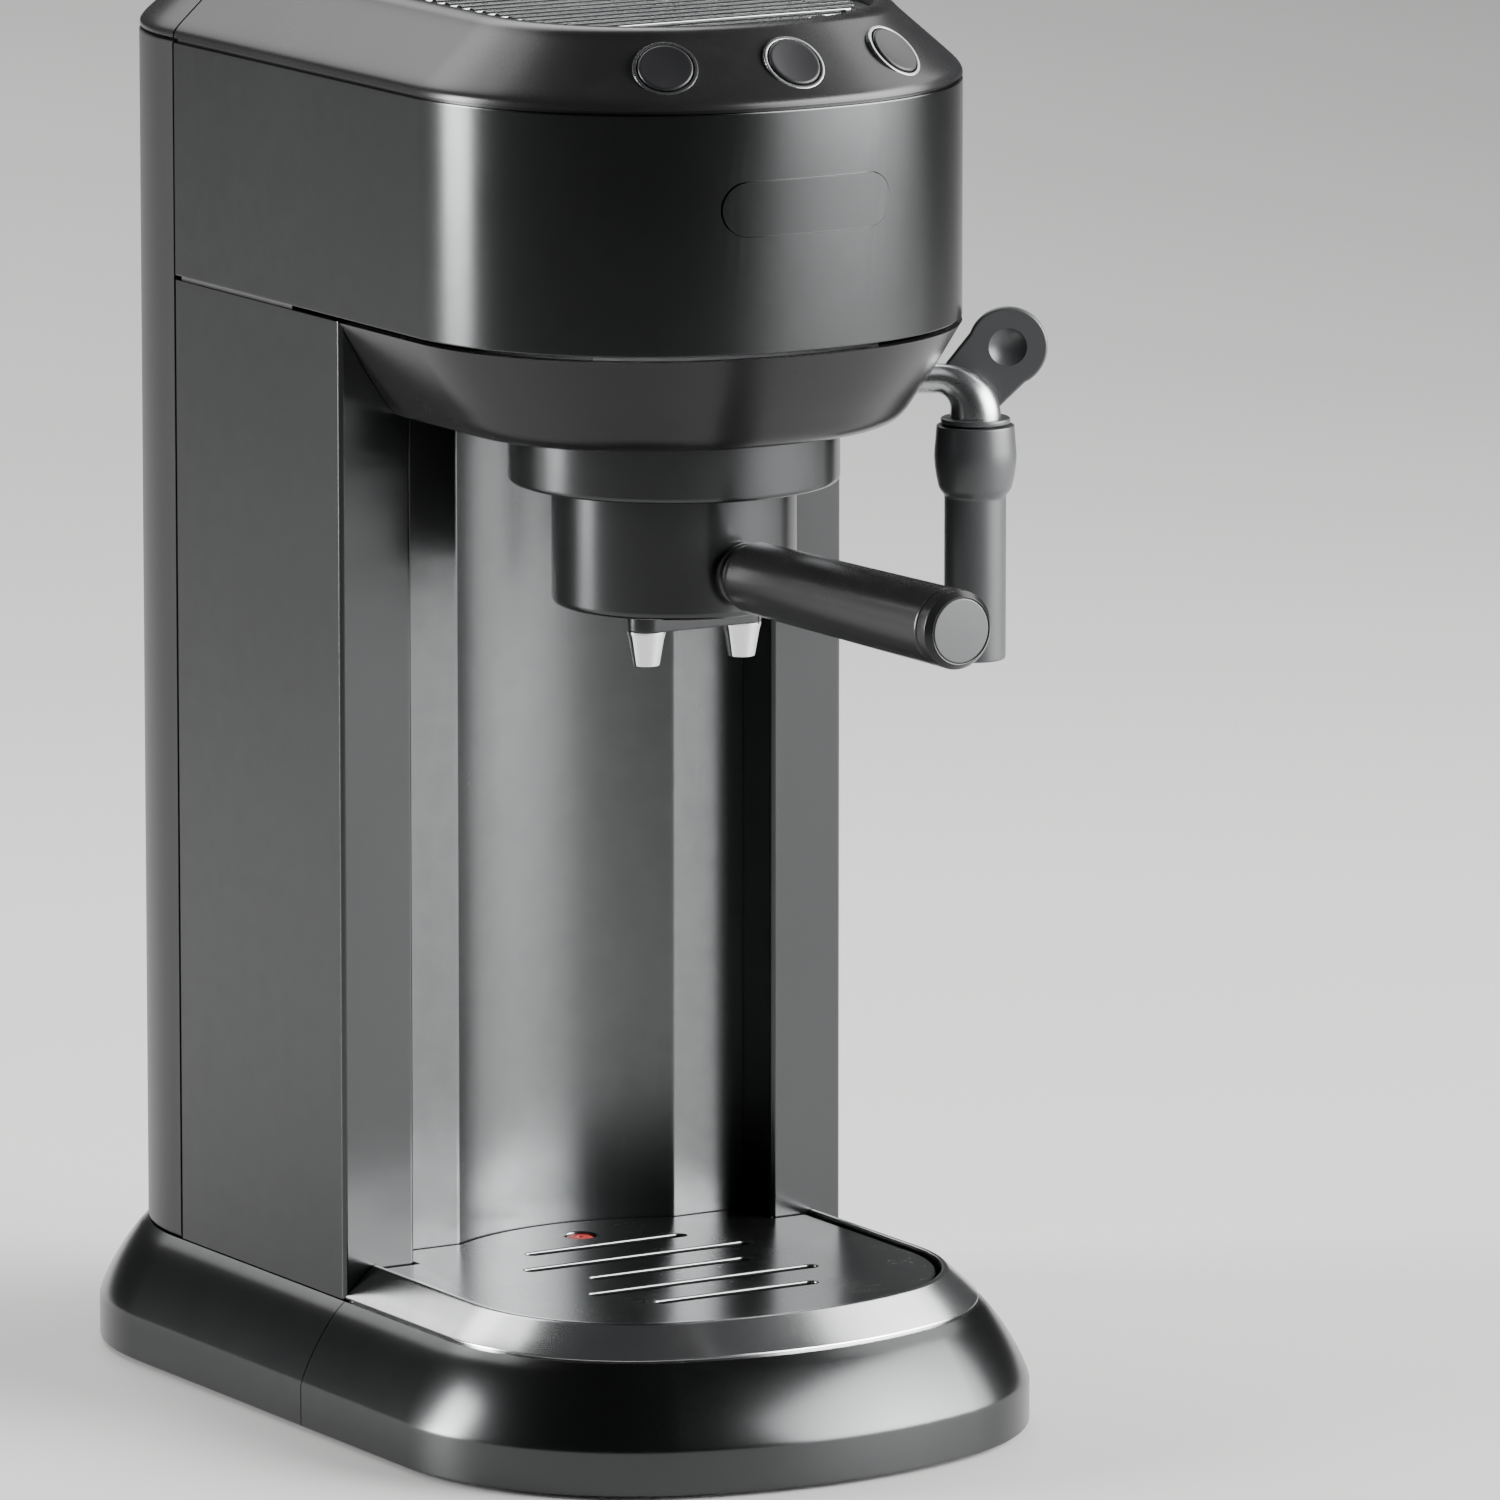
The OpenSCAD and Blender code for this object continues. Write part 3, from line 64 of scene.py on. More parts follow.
halfWidth = high("head_band").x
frontY = low("head_band").y
columnY = low("left_side_panel").y
tankY = high("head_band").y
tankFrontY = low("tank_body").y
backY = high("tank_body").y
baseZ = high("base_shell").z
bandLowZ = low("head_band").z
bandHighZ = high("head_band").z
topZ = high("top_cover").z
headLowZ = low("head_underside").z
groupAxis = Vector(jointNamed("portafilter_turn")["pos_m"])
wandAxis = Vector(jointNamed("wand_swing")["pos_m"])

bodyPlan = {"front": frontY, "frontRadius": 0.123, "cornerRadius": 0.0676}
basePlan = {"front": low("tray_trim_ring").y - 0.0002, "frontRadius": 0.1128, "cornerRadius": 0.0553}
backRadius = 0.055
arcSteps = {"corner": 30, "front": 10}
spinSign = -1  # spin turns clockwise, seen from the tip of its axis


# Selecting and finishing

def deselectAll():
    if bpy.context.mode != "OBJECT":
        bpy.ops.object.mode_set(mode="OBJECT")
    bpy.ops.object.select_all(action="DESELECT")


def pick(piece):
    deselectAll()
    piece.select_set(True)
    bpy.context.view_layer.objects.active = piece


def edit(piece, action="SELECT", kind="VERT"):
    pick(piece)
    bpy.ops.object.mode_set(mode="EDIT")
    bpy.ops.mesh.select_mode(type=kind)
    bpy.ops.mesh.select_all(action=action)


def objectMode():
    bpy.ops.object.mode_set(mode="OBJECT")


def selectEdges(piece, test):
    # Leaves the piece in edit mode with the edges selected whose two ends pass the test
    edit(piece, "DESELECT", "EDGE")
    objectMode()
    for edge in piece.data.edges:
        edge.select = all(test(piece.data.vertices[i].co) for i in edge.vertices)
    bpy.ops.object.mode_set(mode="EDIT")


def selectFaces(piece, test):
    edit(piece, "DESELECT", "FACE")
    objectMode()
    for face in piece.data.polygons:
        face.select = test(face.center, face.normal)
    bpy.ops.object.mode_set(mode="EDIT")


def placeInMesh(piece):
    pick(piece)
    bpy.ops.object.transform_apply(location=True, rotation=True, scale=True)


def moveTo(piece, matrix):
    piece.matrix_world = matrix @ piece.matrix_world
    placeInMesh(piece)
    return piece


def applyModifier(piece, kind, **settings):
    pick(piece)
    modifier = piece.modifiers.new(kind.title(), kind)
    for key, value in settings.items():
        setattr(modifier, key, value)
    bpy.ops.object.modifier_apply(modifier=modifier.name)


def bevelEdges(piece, width, segments=3, angle=35):
    applyModifier(piece, "BEVEL", width=width, segments=segments, limit_method="ANGLE",
                  angle_limit=math.radians(angle), use_clamp_overlap=True, miter_outer="MITER_ARC")
    return piece


def combine(piece, other, operation="DIFFERENCE"):
    applyModifier(piece, "BOOLEAN", operation=operation, object=other, solver="EXACT")
    bpy.data.objects.remove(other, do_unlink=True)
    return piece


def weld(piece, distance=0.00001):
    edit(piece)
    bpy.ops.mesh.remove_doubles(threshold=distance)
    bpy.ops.mesh.normals_make_consistent(inside=False)
    objectMode()
    return piece


def joined(pieces):
    deselectAll()
    for piece in pieces:
        piece.select_set(True)
    bpy.context.view_layer.objects.active = pieces[0]
    bpy.ops.object.join()
    return pieces[0]


def finished(piece, name, body, slot, *nodes, angle=32, weighted=True):
    # Names a piece, shades it, says what it rides on, hides the frame parts that it stands for, and gives it its finish
    pick(piece)
    bpy.ops.object.shade_smooth_by_angle(angle=math.radians(angle))
    if weighted:
        applyModifier(piece, "WEIGHTED_NORMAL", keep_sharp=True, weight=60)
    piece.name = name
    piece.data.name = name
    piece.data.materials.clear()
    piece.data.materials.append(finish(slot))
    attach(piece, body)
    if nodes:
        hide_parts(*nodes)
    return piece


# Finishes. The effects that they share are node groups.

def nodeGroup(name, inputs, outputs):
    group = bpy.data.node_groups.new(name, "ShaderNodeTree")
    for label, kind, value in inputs:
        socket = group.interface.new_socket(name=label, in_out="INPUT", socket_type="NodeSocket" + kind)
        if value is not None:
            socket.default_value = value
    for label, kind in outputs:
        group.interface.new_socket(name=label, in_out="OUTPUT", socket_type="NodeSocket" + kind)
    return group, group.nodes.new("NodeGroupInput"), group.nodes.new("NodeGroupOutput")


def addNode(tree, kind, **settings):
    node = tree.nodes.new("ShaderNode" + kind)
    for key, value in settings.items():
        if key in node.inputs:
            node.inputs[key].default_value = value
        else:
            setattr(node, key, value)
    return node


def mixColours(tree, factor, first, second, blend="MIX"):
    node = addNode(tree, "Mix", data_type="RGBA", blend_type=blend)
    for socket, value in ((node.inputs[0], factor), (node.inputs[6], first), (node.inputs[7], second)):
        if isinstance(value, bpy.types.NodeSocket):
            tree.links.new(value, socket)
        else:
            socket.default_value = value
    return node.outputs[2]


def maths(tree, operation, *values, clamp=False):
    node = addNode(tree, "Math", operation=operation, use_clamp=clamp)
    for socket, value in zip(node.inputs, values):
        if isinstance(value, bpy.types.NodeSocket):
            tree.links.new(value, socket)
        else:
            socket.default_value = value
    return node.outputs[0]


def noise(tree, vector, scale, detail=3.0, rough=0.5):
    node = addNode(tree, "TexNoise", Detail=detail, Roughness=rough)
    tree.links.new(vector, node.inputs["Vector"])
    if isinstance(scale, bpy.types.NodeSocket):
        tree.links.new(scale, node.inputs["Scale"])
    else:
        node.inputs["Scale"].default_value = scale
    return node.outputs["Fac"]


def spread(tree, value, fromLow, fromHigh, toLow, toHigh):
    node = addNode(tree, "MapRange", clamp=True)
    for socket, number in zip(list(node.inputs)[:5], (value, fromLow, fromHigh, toLow, toHigh)):
        if isinstance(number, bpy.types.NodeSocket):
            tree.links.new(number, socket)
        else:
            socket.default_value = number
    return node.outputs["Result"]


def makeGrain():
    # Fine speckle, soft cloudy patches and the colour shift and height they give
    group, source, target = nodeGroup(
        "fineGrain",
        [("Vector", "Vector", None), ("Colour", "Color", (0.1, 0.1, 0.1, 1)), ("Scale", "Float", 900.0),
         ("Patch scale", "Float", 14.0), ("Colour shift", "Float", 0.1), ("Roughness", "Float", 0.35),
         ("Roughness shift", "Float", 0.06)],
        [("Colour", "Color"), ("Roughness", "Float"), ("Height", "Float")])
    speckle = noise(group, source.outputs["Vector"], source.outputs["Scale"], 2.0, 0.6)
    patches = noise(group, source.outputs["Vector"], source.outputs["Patch scale"], 4.0, 0.55)
    mixed = maths(group, "ADD", maths(group, "MULTIPLY", speckle, 0.45), maths(group, "MULTIPLY", patches, 0.55))
    around = maths(group, "MULTIPLY", maths(group, "SUBTRACT", mixed, 0.5), 2.0)
    gain = maths(group, "ADD", maths(group, "MULTIPLY", around, source.outputs["Colour shift"]), 1.0)
    shifted = addNode(group, "VectorMath", operation="SCALE")
    group.links.new(source.outputs["Colour"], shifted.inputs[0])
    group.links.new(gain, shifted.inputs["Scale"])
    rough = maths(group, "ADD", source.outputs["Roughness"],
                  maths(group, "MULTIPLY", around, source.outputs["Roughness shift"]), clamp=True)
    group.links.new(shifted.outputs[0], target.inputs["Colour"])
    group.links.new(rough, target.inputs["Roughness"])
    group.links.new(speckle, target.inputs["Height"])
    return group


def makeWear():
    # Brighter, smoother convex edges, broken up a little
    group, source, target = nodeGroup(
        "edgeWear",
        [("Vector", "Vector", None), ("Colour", "Color", (0.1, 0.1, 0.1, 1)), ("Roughness", "Float", 0.35),
         ("Worn colour", "Color", (0.4, 0.4, 0.4, 1)), ("Amount", "Float", 0.3)],
        [("Colour", "Color"), ("Roughness", "Float")])
    point = addNode(group, "NewGeometry").outputs["Pointiness"]
    edge = spread(group, point, 0.515, 0.60, 0.0, 1.0)
    broken = spread(group, noise(group, source.outputs["Vector"], 160.0, 4.0, 0.6), 0.35, 0.65, 0.45, 1.0)
    mask = maths(group, "MULTIPLY", maths(group, "MULTIPLY", edge, broken), source.outputs["Amount"])
    colour = mixColours(group, mask, source.outputs["Colour"], source.outputs["Worn colour"])
    rough = maths(group, "SUBTRACT", source.outputs["Roughness"], maths(group, "MULTIPLY", mask, 0.12))
    group.links.new(colour, target.inputs["Colour"])
    group.links.new(rough, target.inputs["Roughness"])
    return group


def makeDust():
    # A thin film of dust on faces that look up
    group, source, target = nodeGroup(
        "softDust",
        [("Vector", "Vector", None), ("Colour", "Color", (0.1, 0.1, 0.1, 1)), ("Roughness", "Float", 0.35),
         ("Amount", "Float", 0.1)],
        [("Colour", "Color"), ("Roughness", "Float")])
    parts = addNode(group, "SeparateXYZ")
    group.links.new(addNode(group, "NewGeometry").outputs["Normal"], parts.inputs[0])
    up = spread(group, parts.outputs["Z"], 0.55, 1.0, 0.0, 1.0)
    flecks = spread(group, noise(group, source.outputs["Vector"], 55.0, 6.0, 0.7), 0.42, 0.68, 0.15, 1.0)
    mask = maths(group, "MULTIPLY", maths(group, "MULTIPLY", up, flecks), source.outputs["Amount"])
    colour = mixColours(group, mask, source.outputs["Colour"], (0.42, 0.41, 0.39, 1))
    rough = maths(group, "ADD", source.outputs["Roughness"], maths(group, "MULTIPLY", mask, 0.5), clamp=True)
    group.links.new(colour, target.inputs["Colour"])
    group.links.new(rough, target.inputs["Roughness"])
    return group


def makeBrushing():
    # Long fine lines: the vector is stretched along one axis before it reaches this group
    group, source, target = nodeGroup(
        "brushedLines",
        [("Stretched", "Vector", None), ("Colour", "Color", (0.4, 0.4, 0.4, 1)), ("Roughness", "Float", 0.3),
         ("Depth", "Float", 0.15)],
        [("Colour", "Color"), ("Roughness", "Float"), ("Height", "Float")])
    lines = noise(group, source.outputs["Stretched"], 1.0, 5.0, 0.7)
    around = maths(group, "MULTIPLY", maths(group, "SUBTRACT", lines, 0.5), source.outputs["Depth"])
    gain = maths(group, "ADD", around, 1.0)
    shifted = addNode(group, "VectorMath", operation="SCALE")
    group.links.new(source.outputs["Colour"], shifted.inputs[0])
    group.links.new(gain, shifted.inputs["Scale"])
    rough = maths(group, "ADD", source.outputs["Roughness"], maths(group, "MULTIPLY", around, 0.8), clamp=True)
    group.links.new(shifted.outputs[0], target.inputs["Colour"])
    group.links.new(rough, target.inputs["Roughness"])
    group.links.new(lines, target.inputs["Height"])
    return group


effects = {"grain": makeGrain(), "wear": makeWear(), "dust": makeDust(), "brushing": makeBrushing()}

# colour, metallic, roughness; then grain scale and height (mm), wear, dust, coat and brushing stretch
finishes = {
    "satin_dark_metal": {"colour": (0.050, 0.0515, 0.052), "metallic": 1.0, "roughness": 0.20, "shift": 0.04,
                         "grain": 1500, "height": 0.0015, "worn": 0.25, "dust": 0.03},
    "dark_base_metal": {"colour": (0.052, 0.0535, 0.054), "metallic": 1.0, "roughness": 0.23, "shift": 0.04,
                        "grain": 1300, "height": 0.002, "worn": 0.25, "dust": 0.06},
    "splash_metal": {"colour": (0.085, 0.088, 0.089), "metallic": 1.0, "roughness": 0.26, "shift": 0.05,
                     "grain": 1200, "height": 0.003, "worn": 0.2, "dust": 0.0, "brush": (1500, 1500, 9),
                     "depth": 0.10},
    "tray_steel": {"colour": (0.17, 0.174, 0.175), "metallic": 1.0, "roughness": 0.24, "shift": 0.06,
                   "grain": 1200, "height": 0.003, "worn": 0.3, "dust": 0.05, "brush": (9, 1400, 1400),
                   "depth": 0.16},
    "trim_metal": {"colour": (0.50, 0.505, 0.51), "metallic": 1.0, "roughness": 0.20, "shift": 0.04,
                   "grain": 1400, "height": 0.002, "worn": 0.3, "dust": 0.03},
    "black_plastic": {"colour": (0.008, 0.008, 0.0085), "metallic": 0.0, "roughness": 0.26, "shift": 0.15,
                      "grain": 1600, "height": 0.006, "worn": 0.05, "dust": 0.02, "specular": 0.28},
    "matte_black_plastic": {"colour": (0.010, 0.010, 0.011), "metallic": 0.0, "roughness": 0.36, "shift": 0.18,
                            "grain": 1500, "height": 0.010, "worn": 0.05, "dust": 0.02, "specular": 0.3},
    "grey_plastic": {"colour": (0.034, 0.0355, 0.037), "metallic": 0.0, "roughness": 0.36, "shift": 0.12,
                     "grain": 1500, "height": 0.010, "worn": 0.06, "dust": 0.04},
    "inner_plastic": {"colour": (0.020, 0.020, 0.021), "metallic": 0.0, "roughness": 0.48, "shift": 0.2,
                      "grain": 1200, "height": 0.015, "worn": 0.05, "dust": 0.12},
    "soft_rubber": {"colour": (0.018, 0.018, 0.018), "metallic": 0.0, "roughness": 0.68, "shift": 0.2,
                    "grain": 1100, "height": 0.02, "worn": 0.0, "dust": 0.15},
    "seal_rubber": {"colour": (0.16, 0.035, 0.025), "metallic": 0.0, "roughness": 0.55, "shift": 0.2,
                    "grain": 1200, "height": 0.015, "worn": 0.0, "dust": 0.05},
    "steel": {"colour": (0.50, 0.505, 0.51), "metallic": 1.0, "roughness": 0.26, "shift": 0.06,
              "grain": 1400, "height": 0.003, "worn": 0.3, "dust": 0.03},
    "chrome": {"colour": (0.72, 0.725, 0.73), "metallic": 1.0, "roughness": 0.10, "shift": 0.04,
               "grain": 1500, "height": 0.001, "worn": 0.1, "dust": 0.02},
    "satin_pipe": {"colour": (0.34, 0.346, 0.35), "metallic": 1.0, "roughness": 0.28, "shift": 0.06,
                   "grain": 1500, "height": 0.003, "worn": 0.2, "dust": 0.03},
    "satin_black_metal": {"colour": (0.042, 0.043, 0.044), "metallic": 0.85, "roughness": 0.22, "shift": 0.08,
                          "grain": 1500, "height": 0.004, "worn": 0.2, "dust": 0.04},
    "aluminium": {"colour": (0.46, 0.465, 0.47), "metallic": 1.0, "roughness": 0.42, "shift": 0.12,
                  "grain": 900, "height": 0.02, "worn": 0.3, "dust": 0.05},
    "brass": {"colour": (0.52, 0.37, 0.15), "metallic": 1.0, "roughness": 0.32, "shift": 0.1,
              "grain": 1100, "height": 0.008, "worn": 0.3, "dust": 0.04},
    "hose_plastic": {"colour": (0.42, 0.43, 0.42), "metallic": 0.0, "roughness": 0.42, "shift": 0.08,
                     "grain": 900, "height": 0.01, "worn": 0.0, "dust": 0.05},
    "circuit_board": {"colour": (0.02, 0.09, 0.04), "metallic": 0.0, "roughness": 0.38, "shift": 0.3,
                      "grain": 700, "height": 0.02, "worn": 0.1, "dust": 0.08},
    "red_plastic": {"colour": (0.38, 0.015, 0.012), "metallic": 0.0, "roughness": 0.34, "shift": 0.1,
                    "grain": 1200, "height": 0.008, "worn": 0.0, "dust": 0.03, "coat": 0.2},
    "tank_plastic": {"colour": (0.012, 0.012, 0.013), "metallic": 0.0, "roughness": 0.36, "shift": 0.15,
                     "grain": 1600, "height": 0.006, "worn": 0.05, "dust": 0.02, "specular": 0.18},
}
madeFinishes = {}


def placeGroup(tree, effect, **values):
    node = addNode(tree, "Group")
    node.node_tree = effects[effect]
    for key, value in values.items():
        socket = node.inputs[key.replace("_", " ")]
        if isinstance(value, bpy.types.NodeSocket):
            tree.links.new(value, socket)
        else:
            socket.default_value = value
    return node


def finish(slot):
    if slot in madeFinishes:
        return madeFinishes[slot]
    values = finishes[slot]
    material = bpy.data.materials.new(slot)
    material.use_nodes = True
    tree = material.node_tree
    shader = next(node for node in tree.nodes if node.type == "BSDF_PRINCIPLED")
    shader.inputs["Metallic"].default_value = values["metallic"]
    shader.inputs["Specular IOR Level"].default_value = values.get("specular", 0.5)
    shader.inputs["Coat Weight"].default_value = values.get("coat", 0.0)
    shader.inputs["Coat Roughness"].default_value = 0.12
    place = addNode(tree, "TexCoord").outputs["Object"]
    colour = (*values["colour"], 1)
    grain = placeGroup(tree, "grain", Vector=place, Colour=colour, Scale=values["grain"],
                       Colour_shift=values["shift"], Roughness=values["roughness"])
    height = grain.outputs["Height"]
    last = grain
    if "brush" in values:
        stretch = addNode(tree, "Mapping")
        stretch.inputs["Scale"].default_value = values["brush"]
        tree.links.new(place, stretch.inputs["Vector"])
        last = placeGroup(tree, "brushing", Stretched=stretch.outputs["Vector"], Colour=grain.outputs["Colour"],
                          Roughness=grain.outputs["Roughness"], Depth=values["depth"])
        height = last.outputs["Height"]
    worn = tuple(min(1.0, part * 1.8 + 0.03) for part in values["colour"]) + (1,)
    wear = placeGroup(tree, "wear", Vector=place, Colour=last.outputs["Colour"], Worn_colour=worn,
                      Roughness=last.outputs["Roughness"], Amount=values["worn"])
    dust = placeGroup(tree, "dust", Vector=place, Colour=wear.outputs["Colour"],
                      Roughness=wear.outputs["Roughness"], Amount=values["dust"])
    bump = addNode(tree, "Bump", Strength=0.5, Distance=values["height"] * mm)
    tree.links.new(height, bump.inputs["Height"])
    tree.links.new(dust.outputs["Colour"], shader.inputs["Base Color"])
    tree.links.new(dust.outputs["Roughness"], shader.inputs["Roughness"])
    tree.links.new(bump.outputs["Normal"], shader.inputs["Normal"])
    madeFinishes[slot] = material
    return material


# Outlines and profiles, in millimetres until metres() turns them

def metres(points):
    return [tuple(value * mm for value in point) for point in points]


def flowing(points, steps=4):
    # A smooth line through the points
    result = []
    last = len(points) - 1
    for i in range(last):
        a, b, c, d = (Vector(points[min(max(k, 0), last)]) for k in (i - 1, i, i + 1, i + 2))
        for step in range(steps):
            t = step / steps
            result.append(tuple(0.5 * (2 * b + (c - a) * t + (2 * a - 5 * b + 4 * c - d) * t * t
                                       + (3 * b - a - 3 * c + d) * t ** 3)))
    return result + [tuple(points[last])]


def arcPoints(centre, radius, start, end, steps):
    return [(centre[0] + radius * math.cos(start + (end - start) * i / steps),
             centre[1] + radius * math.sin(start + (end - start) * i / steps)) for i in range(steps + 1)]


def planArcs(plan):
    small, big = plan["cornerRadius"], plan["frontRadius"]
    x = halfWidth - small
    turn = math.asin(x / (big - small))
    bigY = plan["front"] + big
    return x, turn, bigY, bigY - math.sqrt((big - small) ** 2 - x * x)


def frontPath(plan, inset, toY):
    # From the left side at toY, forwards round the front and back to the right side
    x, turn, bigY, smallY = planArcs(plan)
    radius = plan["cornerRadius"] - inset
    half = math.pi
    points = [(-halfWidth + inset, toY)]
    points += arcPoints((-x, smallY), radius, half, 1.5 * half - turn, arcSteps["corner"])
    points += arcPoints((0, bigY), plan["frontRadius"] - inset, 1.5 * half - turn, 1.5 * half + turn,
                        arcSteps["front"])[1:-1]
    points += arcPoints((x, smallY), radius, 1.5 * half + turn, 2 * half, arcSteps["corner"])
    return points + [(halfWidth - inset, toY)]


def frontMoves(plan, fromY, toY):
    x, turn, bigY, smallY = planArcs(plan)
    corner = math.pi / 2 - turn
    return [("run", 0, smallY - fromY), ("turn", (-x, smallY), corner, arcSteps["corner"]),
            ("turn", (0, bigY), 2 * turn, arcSteps["front"]),
            ("turn", (x, smallY), corner, arcSteps["corner"]), ("run", 0, toY - smallY)]


def backMoves(fromY, toY):
    x = halfWidth - backRadius
    y = backY - backRadius
    return [("run", 0, y - fromY), ("turn", (x, y), math.pi / 2, arcSteps["corner"]), ("run", -2 * x, 0),
            ("turn", (-x, y), math.pi / 2, arcSteps["corner"]), ("run", 0, toY - y)]


def ringOf(points, closed=True):
    # A ring of edges through points in space
    deselectAll()
    bpy.ops.mesh.primitive_circle_add(vertices=len(points), radius=0.01, fill_type="NOTHING")
    ring = bpy.context.object
    for vertex, point in zip(ring.data.vertices, points):
        vertex.co = point
    if not closed:
        last = len(points) - 1
        edit(ring, "DESELECT", "EDGE")
        objectMode()
        for edge in ring.data.edges:
            edge.select = set(edge.vertices) == {0, last}
        bpy.ops.object.mode_set(mode="EDIT")
        bpy.ops.mesh.delete(type="EDGE")
        objectMode()
    return ring


def carry(ring, moves):
    edit(ring)
    for move in moves:
        if move[0] == "run":
            bpy.ops.mesh.extrude_region_move(TRANSFORM_OT_translate={"value": (move[1], move[2], 0)})
        else:
            bpy.ops.mesh.spin(steps=move[3], angle=spinSign * move[2], center=(*move[1], 0), axis=(0, 0, 1))
    objectMode()
    return ring


def fillBoundary(piece):
    edit(piece, "DESELECT", "EDGE")
    bpy.ops.mesh.select_non_manifold(extend=False, use_wire=False, use_boundary=True, use_multi_face=False,
                                     use_non_contiguous=False, use_verts=False)
    bpy.ops.mesh.fill_holes(sides=0)
    objectMode()


def closeSweep(piece, points, closed):
    # Fills the ends of a ring's sweep, or the floor, roof and back of an open line's sweep
    if not closed:
        for height in (points[0][1], points[-1][1]):
            selectEdges(piece, lambda place: abs(place.z - height) < 1e-6)
            bpy.ops.mesh.edge_face_add()
            objectMode()
    fillBoundary(piece)
    return weld(piece)


def sweepFront(points, plan, toY, closed=True):
    # points are (inset, height) in metres
    ring = ringOf([(-halfWidth + p[0], toY, p[1]) for p in points], closed)
    return closeSweep(carry(ring, frontMoves(plan, toY, toY)), points, closed)


def sweepBack(points, fromY, closed=True):
    ring = ringOf([(halfWidth - p[0], fromY, p[1]) for p in points], closed)
    return closeSweep(carry(ring, backMoves(fromY, fromY)), points, closed)


def prism(points, lowZ, highZ):
    # A flat outline drawn up from one height to another
    piece = ringOf([(*point, lowZ) for point in points])
    edit(piece)
    bpy.ops.mesh.edge_face_add()
    bpy.ops.mesh.extrude_region_move(TRANSFORM_OT_translate={"value": (0, 0, highZ - lowZ)})
    objectMode()
    return weld(piece)


def turned(points, steps=96):
    # points are (radius, height) in metres, turned round Z; a first or last radius of 0 makes a pole
    closed = points[0][0] > 1e-6
    ring = ringOf([(point[0], 0, point[1]) for point in points], closed)
    edit(ring)
    bpy.ops.mesh.spin(steps=steps, angle=2 * math.pi, center=(0, 0, 0), axis=(0, 0, 1))
    objectMode()
    return weld(ring, 0.000002)


def along(place, direction):
    # The matrix that takes +Z to a direction and the origin to a place
    turn = Vector(direction).normalized().to_track_quat("Z", "Y").to_matrix().to_4x4()
    return Matrix.Translation(place) @ turn


def block(lo, hi):
    deselectAll()
    lo, hi = Vector(lo), Vector(hi)
    bpy.ops.mesh.primitive_cube_add(size=1, location=(lo + hi) / 2)
    piece = bpy.context.object
    piece.scale = hi - lo
    placeInMesh(piece)
    return piece


def rod(radius, start, end, vertices=64):
    deselectAll()
    start, end = Vector(start), Vector(end)
    bpy.ops.mesh.primitive_cylinder_add(vertices=vertices, radius=radius, depth=(end - start).length)
    return moveTo(bpy.context.object, along((start + end) / 2, end - start))


def slotBlock(width, height, centre, depth, matrix=None):
    # A block with half-round ends, width along X and height along Y, drawn along Z
    deselectAll()
    bpy.ops.mesh.primitive_plane_add(size=1)
    piece = bpy.context.object
    piece.scale = (width, height, 1)
    placeInMesh(piece)
    edit(piece)
    bpy.ops.mesh.bevel(affect="VERTICES", offset=min(width, height) / 2 * 0.999, segments=18)
    bpy.ops.mesh.select_all(action="SELECT")
    bpy.ops.mesh.extrude_region_move(TRANSFORM_OT_translate={"value": (0, 0, depth)})
    objectMode()
    weld(piece)
    moveTo(piece, Matrix.Translation(centre) @ (matrix or Matrix.Identity(4)))
    return piece


def fromFrame(node, bevel=0.0, segments=2):
    # A merged copy of a small machined part, with its sharp edges eased
    source = frame["nodes"][node]
    piece = bpy.data.objects.new(node + "_copy", source.data.copy())
    bpy.context.scene.collection.objects.link(piece)
    weld(piece, 0.000005)
    edit(piece)
    bpy.ops.mesh.dissolve_limited(angle_limit=math.radians(0.5))
    objectMode()
    if bevel:
        bevelEdges(piece, bevel, segments, 40)
    return piece


# Base

base = {"flare": 13.1, "bandTop": 12.1, "bulge": 1.22, "skirtLow": 1.2, "wall": 2.7, "deck": 3.0,
        "softEdge": 0.8, "seat": 15.05, "seatY": 93.4, "gland": (-35.0, 8.5), "glandHole": 4.5,
        "suction": (-26.0, 43.55), "suctionHole": 5.0}


def baseSlope(steps=14):
    rise = baseZ / mm - base["bandTop"]
    points = []
    for i in range(steps + 1):
        up = i / steps
        share = (1 - up ** base["bulge"]) ** (1 / base["bulge"])
        points.append((-base["flare"] * share, base["bandTop"] + rise * up))
    return points


def baseOutside():
    flare, lowZ, soft = base["flare"], base["skirtLow"], base["softEdge"]
    foot = [(-flare + soft, lowZ), (-flare + soft * 0.45, lowZ + soft * 0.1),
            (-flare + soft * 0.1, lowZ + soft * 0.45), (-flare, lowZ + soft)]
    return metres(foot + baseSlope())


def baseInside():
    flare, wall = base["flare"], base["wall"]
    return metres([(-flare + wall, base["skirtLow"] - 1), (-flare + wall, base["bandTop"]),
                   (-flare * 0.33 + wall, baseZ / mm - base["deck"] - 2),
                   (-flare * 0.33 + wall + 2, baseZ / mm - base["deck"])])


def platePath(inset):
    # The cup plate's outline: the base's front, then a tongue that reaches the backsplash
    edge = plate["edge"] * mm + inset
    shoulderY = low("cup_plate").y * 0 + columnY - 0.8 * mm - inset
    reach = plate["tongue"] * mm - inset
    backEdge = columnY + plate["tongueBack"] * mm - inset
    radius = plate["hollow"] * mm - inset
    rise = backEdge - groupAxis.y
    half = math.acos(rise / radius)
    points = frontPath(basePlan, edge, shoulderY)
    points += [(reach, shoulderY), (reach, backEdge)]
    points += arcPoints((0, groupAxis.y), radius, math.pi / 2 - half, math.pi / 2 + half, 28)
    return points + [(-reach, backEdge), (-reach, shoulderY)]


